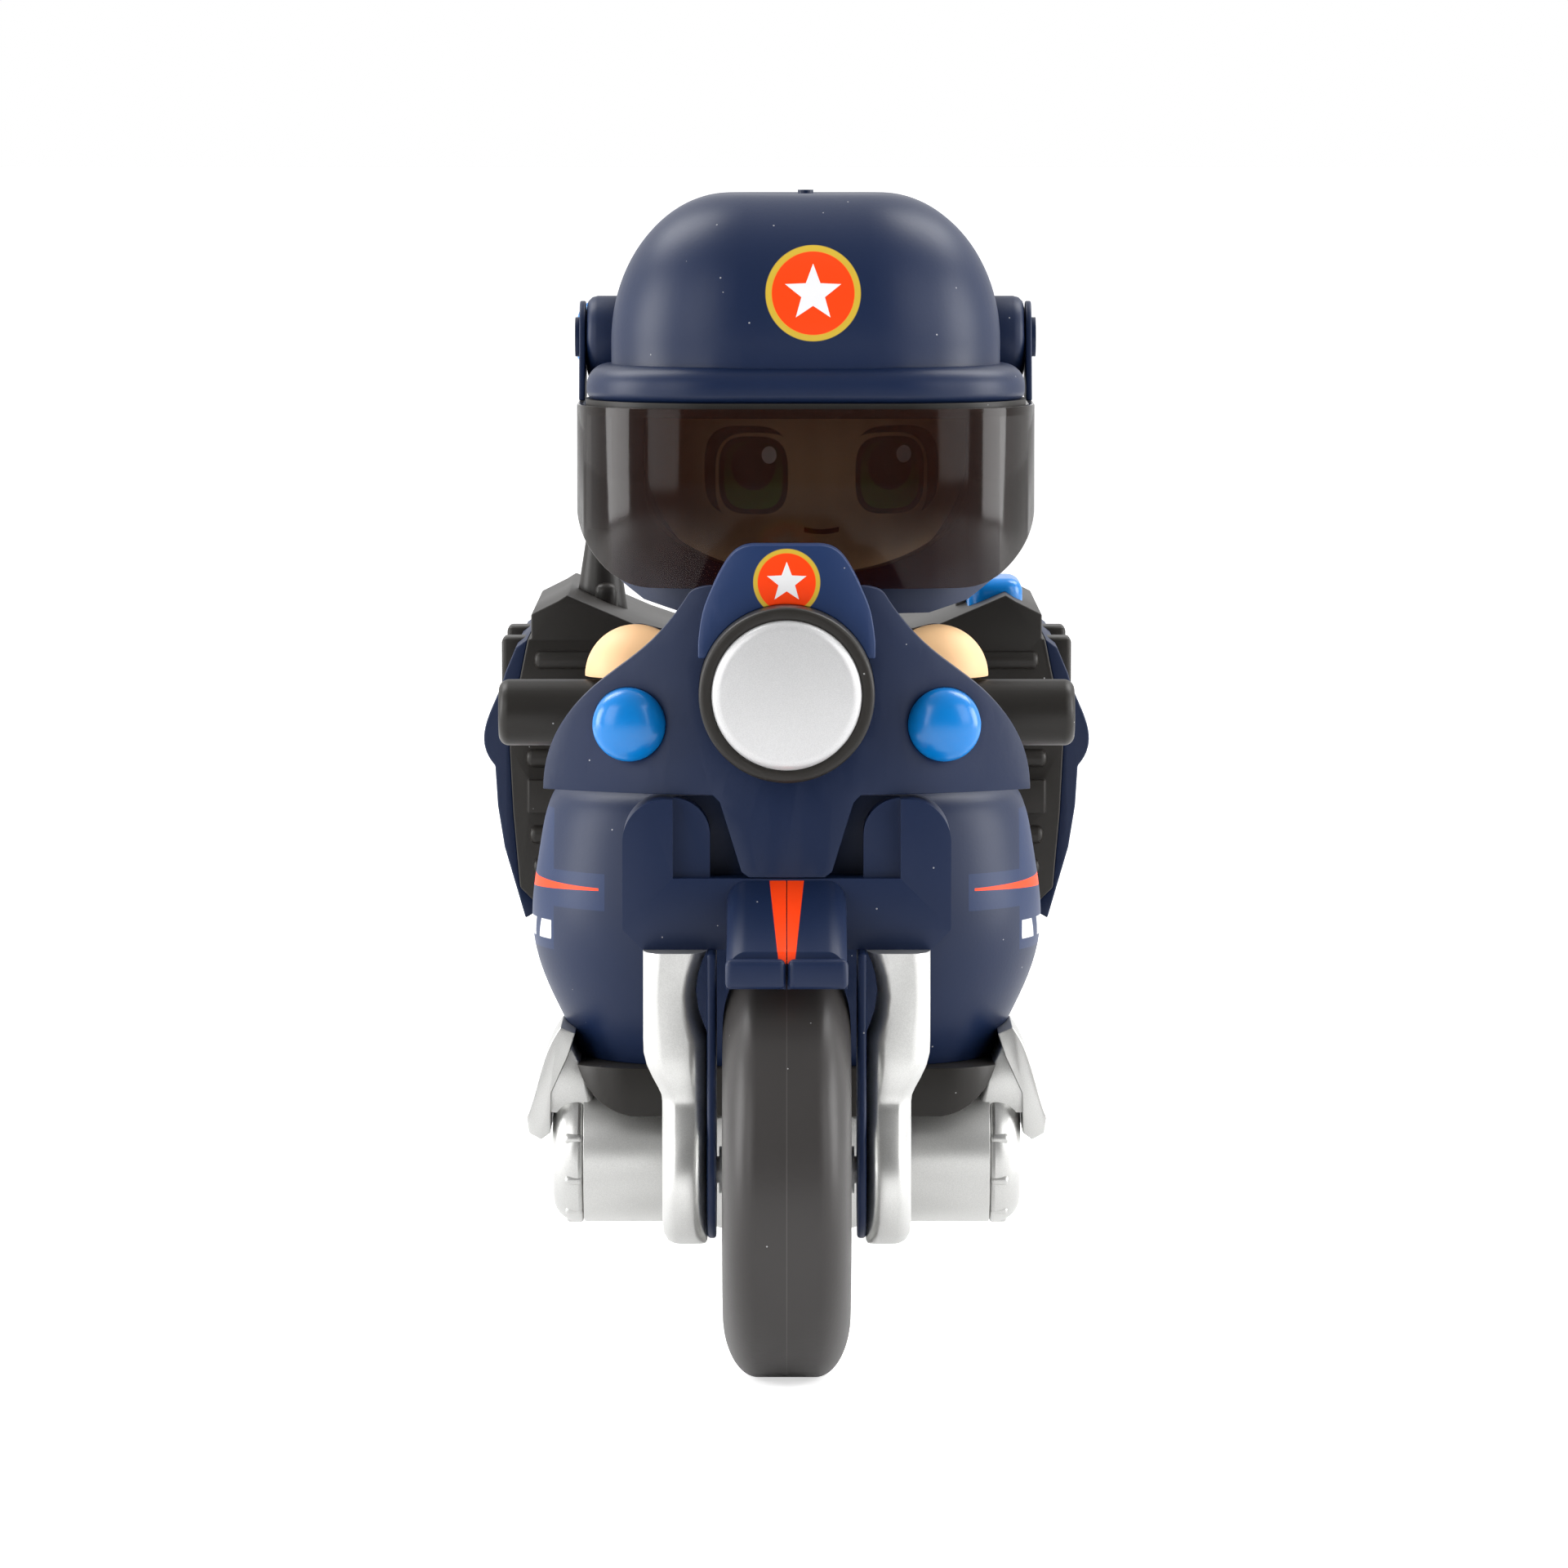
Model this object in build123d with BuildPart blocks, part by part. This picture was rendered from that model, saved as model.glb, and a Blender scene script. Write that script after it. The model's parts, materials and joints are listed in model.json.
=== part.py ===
from build123d import *
import os
from math import sqrt

# A toy police motorcycle with a big-headed rider, in millimetres.
# +Z is up, the machine faces -Y, and the origin is on the ground, midway
# between the front tyre and the back of the cases. Left and right are the
# rider's own, so left is +X.

# --- driving dimensions ------------------------------------------------
LENGTH = 146.0
HEIGHT = 131.0
WHEEL_R = 23.0
TYRE_HALF = 7.1
CROWN_HALF = 3.2
SHOULDER_DEPTH = 7.0
BEAD_R = 15.0
FRONT_AXLE_Y = -LENGTH / 2 + WHEEL_R
REAR_AXLE_Y = 48.0
AXLE_R = 1.5
RIM_WALL = 2.4
SPOKE_WIDTH = 3.6
HUB_R = 4.6
RUNNING_FIT = 0.05
CLEAR = 0.3

PLATE_IN = 7.8
PLATE_OUT = 8.8
LEG_OUT = 13.8
SLEEVE_OUT = 15.9
LEG_TOP = 47.8
LEG_BOSS_R = 8.2
SLEEVE_HALF = 6.4

STEM_Y = -36.0
STEM_R = 2.0
LUG_R = 5.5
LUG_LOW = 48.0
LUG_TOP = 55.5
YOKE_FRONT = -52.0
YOKE_WEB = -47.0
YOKE_BACK = -43.0
YOKE_HALF = 18.2
YOKE_TOP = 64.5
CROSSBAR_TOP = 55.7
COLUMN_IN = 8.5
SHOULDER_R = 4.1
STEP_DEPTH = 1.6
CORNER_R = 4.8

FAIRING_LOW = 55.8
FAIRING_FRONT = -52.0
FAIRING_RAKE = 0.12
FAIRING_WALL = 2.2
FAIRING_BOW = 9.7
FAIRING_SPAN = 28.0
PANEL_RAISE = 2.3
LAMP_Z = 76.3
BEZEL_R = 9.7
LENS_R = 8.1
LAMP_FACE = -56.0
AUX_R = 4.07
AUX_X = 17.5
AUX_Z = 72.4
AUX_BACK = -43.0

BAR_R = 3.76
BAR_HALF = 32.65
BAR_Y = -27.0
BAR_Z = 72.2
STALK_FRONT = -45.9

COWL_BACK = 3.5
COWL_DEPTH = 25.5
COWL_WALL = 2.0
COWL_LOW = 30.6
COWL_TOP = 62.3
BELLY_Z = 25.0
BELLY_FRONT = -19.5
BELLY_BACK = 24.5
SPINE_HALF = 8.6
SPINE_FRONT = -14.5
SPINE_TOP = 57.8
RACK_FRONT = 27.2
ENGINE_Y = -8.0
ENGINE_Z = 19.5
CYLINDER_R = 8.2
CYLINDER_IN = 10.0
COVER_IN = 23.5
COVER_OUT = 27.1
PIPE_R = 2.6
SILENCER_R = 4.3
PIPE_X = 18.0
PIPE_Z = 19.4
MOUTH_R = 2.2
MOUTH_DEPTH = 6.0

CASE_IN = 13.5
CASE_FRONT = 25.0
CASE_BACK = 69.0
SEAT_TOP = 62.0
SEAT_HALF = 8.6

HEAD_X = 2.2
HEAD_Y = -2.0
HEAD_R = 19.0
HEAD_LOW = 84.5
HEAD_Z = 102.5
NECK_R = 4.0
NECK_TOP = 92.0
DOME_HALF = 22.4
DOME_FLAT = 8.8
DOME_CORNER = 16.0
DOME_BASE = 113.8
DOME_TOP = 130.6
BRIM_HALF = 25.2
BRIM_LOW = 107.0
BRIM_HIGH = 111.2
BRIM_FRONT = -27.0
BRIM_CORNER = 15.5
BRIM_ROLL = 2.5
BRIM_LIP = 1.2
SHELL_FRONT = -25.2
SHELL_LOW = 83.3
CAVITY_R = 19.6
CAVITY_Z = 105.0
FACE_HALF = 18.5
FACE_TOP = 106.4
FACE_MID = 97.0
FACE_DROP = 9.4
VISOR_HALF = 26.3
VISOR_WALL = 0.7
VISOR_FRONT = -28.3
VISOR_LOW = 86.3
VISOR_HIGH = 106.6
VISOR_BACK = 8.0
VISOR_CORNER = 16.3
EAR_Y = 3.0
EAR_Z = 113.8
EAR_R = 4.2
PIN_R = 1.2
PIN_HEAD_R = 2.3
PIN_HEAD = 0.5

X_LINE = (1, 0, 0)

os.makedirs("parts", exist_ok=True)


def save(part, name):
    part.label = name
    export_step(part, f"parts/{name}.step")


def mirrored(part):
    with BuildPart() as other:
        mirror(part, about=Plane.YZ)
    return other.part


def save_with_head(part, name):
    """The head and what it wears are drawn on the centre plane and sit a little to the left of it."""
    save(part.moved(Location((HEAD_X, 0, 0))), name)


def save_pair(part, name):
    """The part given is the left one, on the +X side."""
    save(part, f"{name}_left")
    save(mirrored(part), f"{name}_right")


def across(y, z):
    """A plane square to X whose origin is at y, z: its own x is Y and its own y is Z."""
    return Plane(origin=(0, y, z), x_dir=(0, 1, 0), z_dir=X_LINE)


def facing(y, z=0.0):
    """A plane square to Y, seen from the front: its own x is X and its own y is Z."""
    return Plane(origin=(0, y, z), x_dir=X_LINE, z_dir=(0, -1, 0))


# --- wheels ------------------------------------------------------------
def make_wheel(name, axle_y):
    hub = across(axle_y, WHEEL_R)
    with BuildPart() as tyre:
        with BuildSketch(facing(axle_y, WHEEL_R)):
            with BuildLine():
                Line((0, WHEEL_R), (CROWN_HALF, WHEEL_R))
                EllipticalCenterArc(
                    (CROWN_HALF, WHEEL_R - SHOULDER_DEPTH),
                    TYRE_HALF - CROWN_HALF,
                    SHOULDER_DEPTH,
                    start_angle=0,
                    arc_size=90,
                )
                Polyline(
                    (TYRE_HALF, WHEEL_R - SHOULDER_DEPTH),
                    (TYRE_HALF - 1.2, BEAD_R),
                    (0, BEAD_R),
                )
                mirror(about=Plane.YZ)
            make_face()
        revolve(axis=Axis((0, axle_y, WHEEL_R), X_LINE))
    save(tyre.part, f"{name}_tyre")

    with BuildPart() as rim:
        with BuildSketch(hub):
            Circle(BEAD_R)
            Circle(BEAD_R - RIM_WALL, mode=Mode.SUBTRACT)
        extrude(amount=TYRE_HALF - 1.6, both=True)
        with BuildSketch(hub):
            with PolarLocations(8.5, 5):
                Rectangle(10, SPOKE_WIDTH)
        extrude(amount=3.0, both=True)
        with BuildSketch(hub):
            Circle(HUB_R)
        extrude(amount=5.0, both=True)
        with BuildSketch(hub):
            Circle(2.6)
        extrude(amount=PLATE_IN - CLEAR, both=True)
        with BuildSketch(hub):
            Circle(AXLE_R + RUNNING_FIT)
        extrude(amount=PLATE_IN, both=True, mode=Mode.SUBTRACT)
    save(rim.part, f"{name}_rim")


make_wheel("front", FRONT_AXLE_Y)
make_wheel("rear", REAR_AXLE_Y)

# --- front fork --------------------------------------------------------
FORK = across(FRONT_AXLE_Y, WHEEL_R)
LEG_HEIGHT = LEG_TOP - WHEEL_R
BLIND_END = 12.8

with BuildPart() as front_axle:
    with BuildSketch(FORK):
        Circle(AXLE_R)
    extrude(amount=BLIND_END, both=True)
save(front_axle.part, "front_axle")

with BuildPart() as fork_plate:
    with BuildSketch(FORK.offset(PLATE_IN)):
        Circle(LEG_BOSS_R - 0.6)
        with Locations((0, LEG_HEIGHT / 2)):
            Rectangle(2 * SLEEVE_HALF, LEG_HEIGHT)
        Circle(AXLE_R, mode=Mode.SUBTRACT)
    extrude(amount=PLATE_OUT - PLATE_IN)
save_pair(fork_plate.part, "fork_plate")

with BuildPart() as fork_leg:
    with BuildSketch(facing(FRONT_AXLE_Y + LEG_BOSS_R)):
        with BuildLine():
            Line((PLATE_OUT, WHEEL_R - LEG_BOSS_R), (LEG_OUT, WHEEL_R - LEG_BOSS_R))
            Line((LEG_OUT, WHEEL_R - LEG_BOSS_R), (LEG_OUT, 31.0))
            Spline((LEG_OUT, 31.0), (SLEEVE_OUT, 36.5), tangents=((0, 1), (0, 1)))
            Line((SLEEVE_OUT, 36.5), (SLEEVE_OUT, LEG_TOP))
            Line((SLEEVE_OUT, LEG_TOP), (PLATE_OUT, LEG_TOP))
            ThreePointArc((PLATE_OUT, LEG_TOP), (10.1, 43.0), (PLATE_OUT, 38.0))
            Line((PLATE_OUT, 38.0), (PLATE_OUT, WHEEL_R - LEG_BOSS_R))
        make_face()
    extrude(amount=2 * LEG_BOSS_R)
    with BuildSketch(FORK.offset(PLATE_IN)):
        Circle(LEG_BOSS_R)
        with Locations((0, LEG_HEIGHT / 2)):
            Rectangle(2 * SLEEVE_HALF, LEG_HEIGHT)
    extrude(amount=SLEEVE_OUT, mode=Mode.INTERSECT)
    boss_rim = fork_leg.edges().filter_by(GeomType.CIRCLE).group_by(Axis.X)[-1]
    fillet(boss_rim, radius=1.4)
    with BuildSketch(FORK.offset(PLATE_IN)):
        Circle(AXLE_R)
    extrude(amount=BLIND_END - PLATE_IN, mode=Mode.SUBTRACT)
save_pair(fork_leg.part, "fork_leg")

# --- yoke, fender and steering pin -------------------------------------
with BuildPart() as yoke:
    with BuildSketch(facing(YOKE_BACK)):
        with BuildLine():
            Polyline((0, LEG_TOP), (YOKE_HALF - 2.2, LEG_TOP), (YOKE_HALF, LEG_TOP + 2.2))
            Line((YOKE_HALF, LEG_TOP + 2.2), (YOKE_HALF, YOKE_TOP - CORNER_R))
            JernArc((YOKE_HALF, YOKE_TOP - CORNER_R), (0, 1), CORNER_R, 90)
            Line((YOKE_HALF - CORNER_R, YOKE_TOP), (0, YOKE_TOP))
            mirror(about=Plane.YZ)
        make_face()
    extrude(amount=YOKE_BACK - YOKE_FRONT)
    # the fairing's tongue stands between the columns, whose inner shoulders are round
    with BuildSketch(facing(YOKE_WEB)):
        with BuildLine():
            Polyline((0, CROSSBAR_TOP), (COLUMN_IN, CROSSBAR_TOP), (COLUMN_IN, YOKE_TOP - SHOULDER_R))
            JernArc((COLUMN_IN, YOKE_TOP - SHOULDER_R), (0, 1), SHOULDER_R, -90)
            Line((COLUMN_IN + SHOULDER_R, YOKE_TOP), (0, YOKE_TOP))
            mirror(about=Plane.YZ)
        make_face()
    extrude(amount=YOKE_WEB - YOKE_FRONT, mode=Mode.SUBTRACT)
    # a shallow step along the inside of each column
    with BuildSketch(facing(YOKE_FRONT + STEP_DEPTH)):
        with Locations((0, (CROSSBAR_TOP + YOKE_TOP) / 2)):
            Rectangle(2 * (COLUMN_IN + SHOULDER_R), YOKE_TOP - CROSSBAR_TOP)
    extrude(amount=STEP_DEPTH, mode=Mode.SUBTRACT)
    # the shelf that turns on the frame's lug
    with BuildSketch(Plane.XY.offset(LUG_TOP + CLEAR)):
        with Locations((0, STEM_Y)):
            Circle(LUG_R + 0.8)
        with Locations((0, (STEM_Y + YOKE_BACK) / 2)):
            Rectangle(2 * LUG_R + 1.6, YOKE_BACK - STEM_Y)
    extrude(amount=4.4)
    with BuildSketch(Plane.XY.offset(LUG_TOP)):
        with Locations((0, STEM_Y)):
            Circle(STEM_R)
    extrude(amount=4.0, mode=Mode.SUBTRACT)
    fillet(yoke.edges().filter_by(Axis.Y).group_by(Axis.X)[-1], radius=0.5)
save(yoke.part, "yoke")

with BuildPart() as steering_pin:
    with BuildSketch(Plane.XY.offset(45.0)):
        with Locations((0, STEM_Y)):
            Circle(3.2)
    extrude(amount=1.8)
    fillet(steering_pin.edges().group_by(Axis.Z)[0], radius=0.9)
    with BuildSketch(Plane.XY.offset(46.8)):
        with Locations((0, STEM_Y)):
            Circle(STEM_R)
    extrude(amount=LUG_TOP + 4.0 - 46.8)
save(steering_pin.part, "steering_pin")

FENDER_HALF = 6.6
FENDER_SHOULDER = 2.2
FENDER_SKIRT = 1.3
SEAM = 0.06
with BuildPart() as fender:
    with BuildSketch(Plane.YZ.offset(SEAM)):
        with BuildLine():
            Polyline(
                (YOKE_FRONT, 55.5),
                (-65.2, 49.0),
                (-66.2, 45.0),
                (-64.9, 45.0),
                (-64.0, 47.6),
                (YOKE_FRONT, 53.7),
                close=True,
            )
        make_face()
    extrude(amount=FENDER_HALF - SEAM)
    with BuildSketch(Plane.YZ.offset(FENDER_HALF - FENDER_SKIRT)):
        with BuildLine():
            Polyline(
                (YOKE_FRONT, 54.0),
                (-64.3, 47.9),
                (-65.2, 45.0),
                (YOKE_FRONT, 48.4),
                close=True,
            )
        make_face()
    extrude(amount=FENDER_SKIRT)
    outer = fender.faces().sort_by(Axis.X)[-1]
    crest = outer.edges().sort_by(Axis.Z)[-1]
    fillet(crest, radius=FENDER_SHOULDER)
save_pair(fender.part, "front_fender")

# --- fairing -----------------------------------------------------------
def fairing_front(z):
    return FAIRING_FRONT + FAIRING_RAKE * (z - FAIRING_LOW)


def crescent(z, near, far):
    """Two bows across the machine at height z, from near to far behind the face."""
    y = fairing_front(z)
    ahead = ThreePointArc(
        (-FAIRING_SPAN, y + near + FAIRING_BOW), (0, y + near), (FAIRING_SPAN, y + near + FAIRING_BOW)
    )
    behind = ThreePointArc(
        (FAIRING_SPAN, y + far + FAIRING_BOW), (0, y + far), (-FAIRING_SPAN, y + far + FAIRING_BOW)
    )
    ends = [Line(ahead @ 1, behind @ 0), Line(behind @ 1, ahead @ 0)]
    return Plane.XY.offset(z) * make_face([ahead, ends[0], behind, ends[1]])


FAIRING_SLAB = loft([crescent(54.0, 0, FAIRING_WALL), crescent(95.0, 0, FAIRING_WALL)])
PANEL_SLAB = loft([crescent(54.0, -PANEL_RAISE, FAIRING_WALL), crescent(95.0, -PANEL_RAISE, FAIRING_WALL)])

with BuildPart() as fairing:
    with BuildSketch(facing(-30.0)):
        with BuildLine():
            Polyline((0, FAIRING_LOW), (4.2, FAIRING_LOW), (5.0, 56.4), (7.4, 64.0), (8.2, 64.8))
            Line((8.2, 64.8), (27.2, 64.8))
            Spline(
                (27.2, 64.8),
                (26.2, 70.1),
                (21.5, 76.4),
                (14.9, 81.8),
                (11.2, 86.4),
                (8.6, 87.8),
                tangents=((0, 1), (-1, 0.1)),
            )
            Line((8.6, 87.8), (0, 87.8))
            mirror(about=Plane.YZ)
        make_face()
    extrude(amount=30)
    add(FAIRING_SLAB, mode=Mode.INTERSECT)

    with BuildSketch(facing(-40.0)):
        with Locations((0, LAMP_Z)):
            Circle(BEZEL_R)
        with Locations((-AUX_X, AUX_Z), (AUX_X, AUX_Z)):
            Circle(AUX_R)
    extrude(amount=20, mode=Mode.SUBTRACT)
save(fairing.part, "fairing")

with BuildPart() as fairing_panel:
    with BuildSketch(facing(-30.0)):
        with BuildLine():
            Line((0, 92.5), (3.4, 92.5))
            Spline((3.4, 92.5), (7.0, 90.2), (8.6, 87.0), (9.8, 81.8), tangents=((1, 0), (0.1, -1)))
            Polyline((9.8, 81.8), (9.8, 80.0), (0, 80.0))
            mirror(about=Plane.YZ)
        make_face()
    extrude(amount=30)
    add(PANEL_SLAB, mode=Mode.INTERSECT)
    add(fairing.part, mode=Mode.SUBTRACT)
    with BuildSketch(facing(-40.0)):
        with Locations((0, LAMP_Z)):
            Circle(BEZEL_R)
    extrude(amount=20, mode=Mode.SUBTRACT)
save(fairing_panel.part, "fairing_panel")

# --- lamps on the fairing ----------------------------------------------
with BuildPart() as headlamp_bezel:
    with BuildSketch(facing(-46.0, LAMP_Z)):
        Circle(BEZEL_R)
    extrude(amount=-46.0 - LAMP_FACE)
    with BuildSketch(facing(-49.0, LAMP_Z)):
        Circle(LENS_R)
    extrude(amount=10, mode=Mode.SUBTRACT)
    fillet(headlamp_bezel.edges().group_by(Axis.Y)[0], radius=0.6)
save(headlamp_bezel.part, "headlamp_bezel")

with BuildPart() as headlamp_lens:
    with BuildSketch(facing(-49.0, LAMP_Z)):
        Circle(LENS_R)
    extrude(amount=6.6)
    fillet(headlamp_lens.edges().group_by(Axis.Y)[0], radius=1.5)
save(headlamp_lens.part, "headlamp_lens")

with BuildPart() as aux_lamp:
    with BuildSketch(Plane(origin=(AUX_X, AUX_BACK, AUX_Z), x_dir=X_LINE, z_dir=(0, 0, 1))):
        with BuildLine():
            Polyline((0, 0), (AUX_R, 0), (AUX_R, -4.6))
            EllipticalCenterArc((0, -4.6), AUX_R, 2.6, start_angle=270, arc_size=90)
            Line((0, -7.2), (0, 0))
        make_face()
    revolve(axis=Axis((AUX_X, AUX_BACK, AUX_Z), (0, -1, 0)))
save_pair(aux_lamp.part, "aux_lamp")

with BuildPart() as handlebar:
    with BuildSketch(across(BAR_Y, BAR_Z)):
        Circle(BAR_R)
    extrude(amount=BAR_HALF, both=True)
    fillet(handlebar.edges().filter_by(GeomType.CIRCLE), radius=1.2)
    # the stalk that carries the fairing
    with BuildSketch(facing(BAR_Y)):
        with Locations((0, BAR_Z - 0.6)):
            RectangleRounded(10.0, 5.2, 1.2)
    extrude(amount=BAR_Y - STALK_FRONT)
save(handlebar.part, "handlebar")

# --- cowl: the wide lower fairing, two hollow halves -------------------
# (height, half width) of the outline seen from the front
COWL_OUTLINE = (
    (COWL_LOW, 24.2),
    (34.7, 25.9),
    (40.0, 28.3),
    (48.0, 29.6),
    (55.6, 28.6),
    (60.5, 27.3),
    (COWL_TOP, 25.0),
)


def cowl_section(z, half, inset):
    """One level of the cowl: a wide rounded end that faces forward."""
    depth = COWL_DEPTH - 0.8 * (29.6 - half) - inset
    width = half - inset
    sketch = RectangleRounded(2 * width, 2 * depth, 0.62 * width)
    return Plane(origin=(0, COWL_BACK, z)) * sketch


COWL_FORM = loft([cowl_section(z, half, 0) for z, half in COWL_OUTLINE])
COWL_HOLLOW = loft(
    [cowl_section(z - (COWL_WALL if z > 50 else 0), half, COWL_WALL) for z, half in COWL_OUTLINE]
)
ARM_HALF = 4.4

with BuildPart() as cowl:
    add(COWL_FORM)
    # the back is open to the rider's legs
    with Locations((0, COWL_BACK + 30, (COWL_LOW + COWL_TOP) / 2)):
        Box(80, 60, 40, mode=Mode.SUBTRACT)
    add(COWL_HOLLOW, mode=Mode.SUBTRACT)
    with Locations((0, -20, (LUG_LOW + LUG_TOP) / 2)):
        Box(2 * ARM_HALF + 0.4, 12, LUG_TOP - LUG_LOW + 0.4, mode=Mode.SUBTRACT)
    with Locations((-40, 0, 45)):
        Box(80, 100, 60, mode=Mode.SUBTRACT)
save_pair(cowl.part, "cowl")

with BuildPart() as tank:
    with BuildSketch(Plane.XY.offset(COWL_TOP)):
        with Locations((0, -9.0)):
            RectangleRounded(30.0, 18.0, 6.0)
    extrude(amount=4.2)
    fillet(tank.edges().group_by(Axis.Z)[-1], radius=2.4)
save(tank.part, "tank_cover")

# --- chassis -----------------------------------------------------------
with BuildPart() as chassis:
    # belly pan with footboards
    with BuildSketch(facing(BELLY_BACK)):
        with BuildLine():
            Line((0, BELLY_Z), (17.8, BELLY_Z))
            ThreePointArc((17.8, BELLY_Z), (21.6, 26.7), (24.1, COWL_LOW))
            Line((24.1, COWL_LOW), (0, COWL_LOW))
            mirror(about=Plane.YZ)
        make_face()
    extrude(amount=BELLY_BACK - BELLY_FRONT)
    with BuildSketch(Plane.XY.offset(BELLY_Z)):
        with Locations((0, (BELLY_FRONT + BELLY_BACK) / 2)):
            RectangleRounded(50.0, BELLY_BACK - BELLY_FRONT, 7.0)
    extrude(amount=10, mode=Mode.INTERSECT)
    # spine inside the cowl and under the seat
    with BuildSketch(Plane.YZ.offset(-SPINE_HALF)):
        with BuildLine():
            Polyline(
                (SPINE_FRONT, COWL_LOW),
                (SPINE_FRONT, SPINE_TOP),
                (RACK_FRONT, SPINE_TOP),
                (RACK_FRONT, 48.0),
                (25.4, 46.0),
                (25.4, COWL_LOW),
                close=True,
            )
        make_face()
    extrude(amount=2 * SPINE_HALF)
    # arm and lug for the steering pin
    with BuildSketch(Plane.XY.offset(LUG_LOW)):
        with Locations((0, STEM_Y)):
            Circle(LUG_R)
        with Locations((0, (STEM_Y + SPINE_FRONT + 0.5) / 2)):
            Rectangle(2 * ARM_HALF, SPINE_FRONT + 0.5 - STEM_Y)
    extrude(amount=LUG_TOP - LUG_LOW)
    with BuildSketch(Plane.XY.offset(LUG_LOW)):
        with Locations((0, STEM_Y)):
            Circle(STEM_R + RUNNING_FIT)
    extrude(amount=LUG_TOP - LUG_LOW, mode=Mode.SUBTRACT)
    # swinging arms that carry the rear axle
    for side in (-1, 1):
        with BuildSketch(across(REAR_AXLE_Y, WHEEL_R).offset(side * 10.4)):
            Circle(6.5)
            with Locations((-15.0, 2.5)):
                Rectangle(30.0, 8.0)
        extrude(amount=1.6, both=True)
    with BuildSketch(across(REAR_AXLE_Y, WHEEL_R)):
        Circle(AXLE_R)
    extrude(amount=20, both=True, mode=Mode.SUBTRACT)
save(chassis.part, "chassis")

with BuildPart() as rear_axle:
    with BuildSketch(across(REAR_AXLE_Y, WHEEL_R)):
        Circle(AXLE_R)
    extrude(amount=12.0, both=True)
    for side in (-1, 1):
        with BuildSketch(across(REAR_AXLE_Y, WHEEL_R).offset(side * 12.8)):
            Circle(3.0)
        extrude(amount=0.8, both=True)
save(rear_axle.part, "rear_axle")

with BuildPart() as belly_screws:
    with BuildSketch(Plane.XY.offset(BELLY_Z - 0.9)):
        with Locations((0, 10.0)):
            with GridLocations(25.2, 8.0, 2, 2):
                Circle(2.0)
    extrude(amount=0.9)
save(belly_screws.part, "belly_screws")

# --- engine, exhausts and guards ---------------------------------------
CYLINDER = across(ENGINE_Y, ENGINE_Z)

with BuildPart() as crankcase:
    with BuildSketch(facing(3.0)):
        with Locations((0, 18.4)):
            RectangleRounded(2 * CYLINDER_IN, 13.2, 3.0)
    extrude(amount=21.0)
    add(chassis.part, mode=Mode.SUBTRACT)
save(crankcase.part, "crankcase")

with BuildPart() as cylinder:
    with BuildSketch(CYLINDER.offset(CYLINDER_IN)):
        Circle(CYLINDER_R)
    extrude(amount=COVER_IN - CYLINDER_IN)
    add(chassis.part, mode=Mode.SUBTRACT)
save_pair(cylinder.part, "cylinder")

with BuildPart() as valve_cover:
    with BuildSketch(CYLINDER.offset(COVER_IN)):
        Circle(CYLINDER_R)
    extrude(amount=COVER_OUT - COVER_IN)
    fillet(valve_cover.edges().group_by(Axis.X)[-1], radius=3.0)
    add(chassis.part, mode=Mode.SUBTRACT)
save_pair(valve_cover.part, "valve_cover")

with BuildPart() as crash_guard:
    with BuildSketch(facing(ENGINE_Y + 6.0)):
        with BuildLine():
            Spline((26.1, 34.7), (27.8, 31.6), (29.0, 27.6), (30.1, 24.2))
            Polyline((30.1, 24.2), (29.8, 22.4), (28.4, 21.6), (27.3, 22.4), (27.2, 27.0))
            Polyline((27.2, 27.0), (25.2, 31.4), (24.4, 34.0), (26.1, 34.7))
        make_face()
    extrude(amount=12.0)
    add(COWL_FORM, mode=Mode.SUBTRACT)
    add(valve_cover.part, mode=Mode.SUBTRACT)
save_pair(crash_guard.part, "crash_guard")

with BuildPart() as exhaust:
    with BuildSketch(facing(-4.0)):
        with Locations((PIPE_X, PIPE_Z)):
            Circle(PIPE_R)
    extrude(amount=-24.0)
    with BuildSketch(facing(20.0)):
        with Locations((PIPE_X, PIPE_Z)):
            Circle(SILENCER_R)
    extrude(amount=-46.0)
    fillet(exhaust.edges().filter_by(GeomType.CIRCLE).group_by(SortBy.RADIUS)[-1], radius=1.4)
    with BuildSketch(facing(66.0)):
        with Locations((PIPE_X, PIPE_Z)):
            Circle(MOUTH_R)
    extrude(amount=MOUTH_DEPTH, mode=Mode.SUBTRACT)
    add(cylinder.part, mode=Mode.SUBTRACT)
save_pair(exhaust.part, "exhaust")

# --- tail: fender, rack, seat, cases and lamps -------------------------
FENDER_R = 25.4
with BuildPart() as rear_fender:
    with BuildSketch(across(REAR_AXLE_Y, WHEEL_R)):
        Circle(FENDER_R)
        Circle(FENDER_R - 1.4, mode=Mode.SUBTRACT)
        with Locations((0, -30)):
            Rectangle(120, 60, mode=Mode.SUBTRACT)
        with Locations((-30 - 20.8, 10)):
            Rectangle(60, 80, mode=Mode.SUBTRACT)
        with Locations((30 + 22.4, 10)):
            Rectangle(60, 80, mode=Mode.SUBTRACT)
    extrude(amount=8.6, both=True)
save(rear_fender.part, "rear_fender")

with BuildPart() as rear_rack:
    with Locations((0, (RACK_FRONT + CASE_BACK) / 2, 46.0)):
        Box(
            2 * CASE_IN,
            CASE_BACK - RACK_FRONT,
            22.0,
            align=(Align.CENTER, Align.CENTER, Align.MIN),
        )
    fillet(rear_rack.edges().filter_by(Axis.X).group_by(Axis.Z)[-1], radius=2.5)
    with BuildSketch(across(REAR_AXLE_Y, WHEEL_R)):
        Circle(FENDER_R)
    extrude(amount=CASE_IN, both=True, mode=Mode.SUBTRACT)
save(rear_rack.part, "rear_rack")

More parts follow.
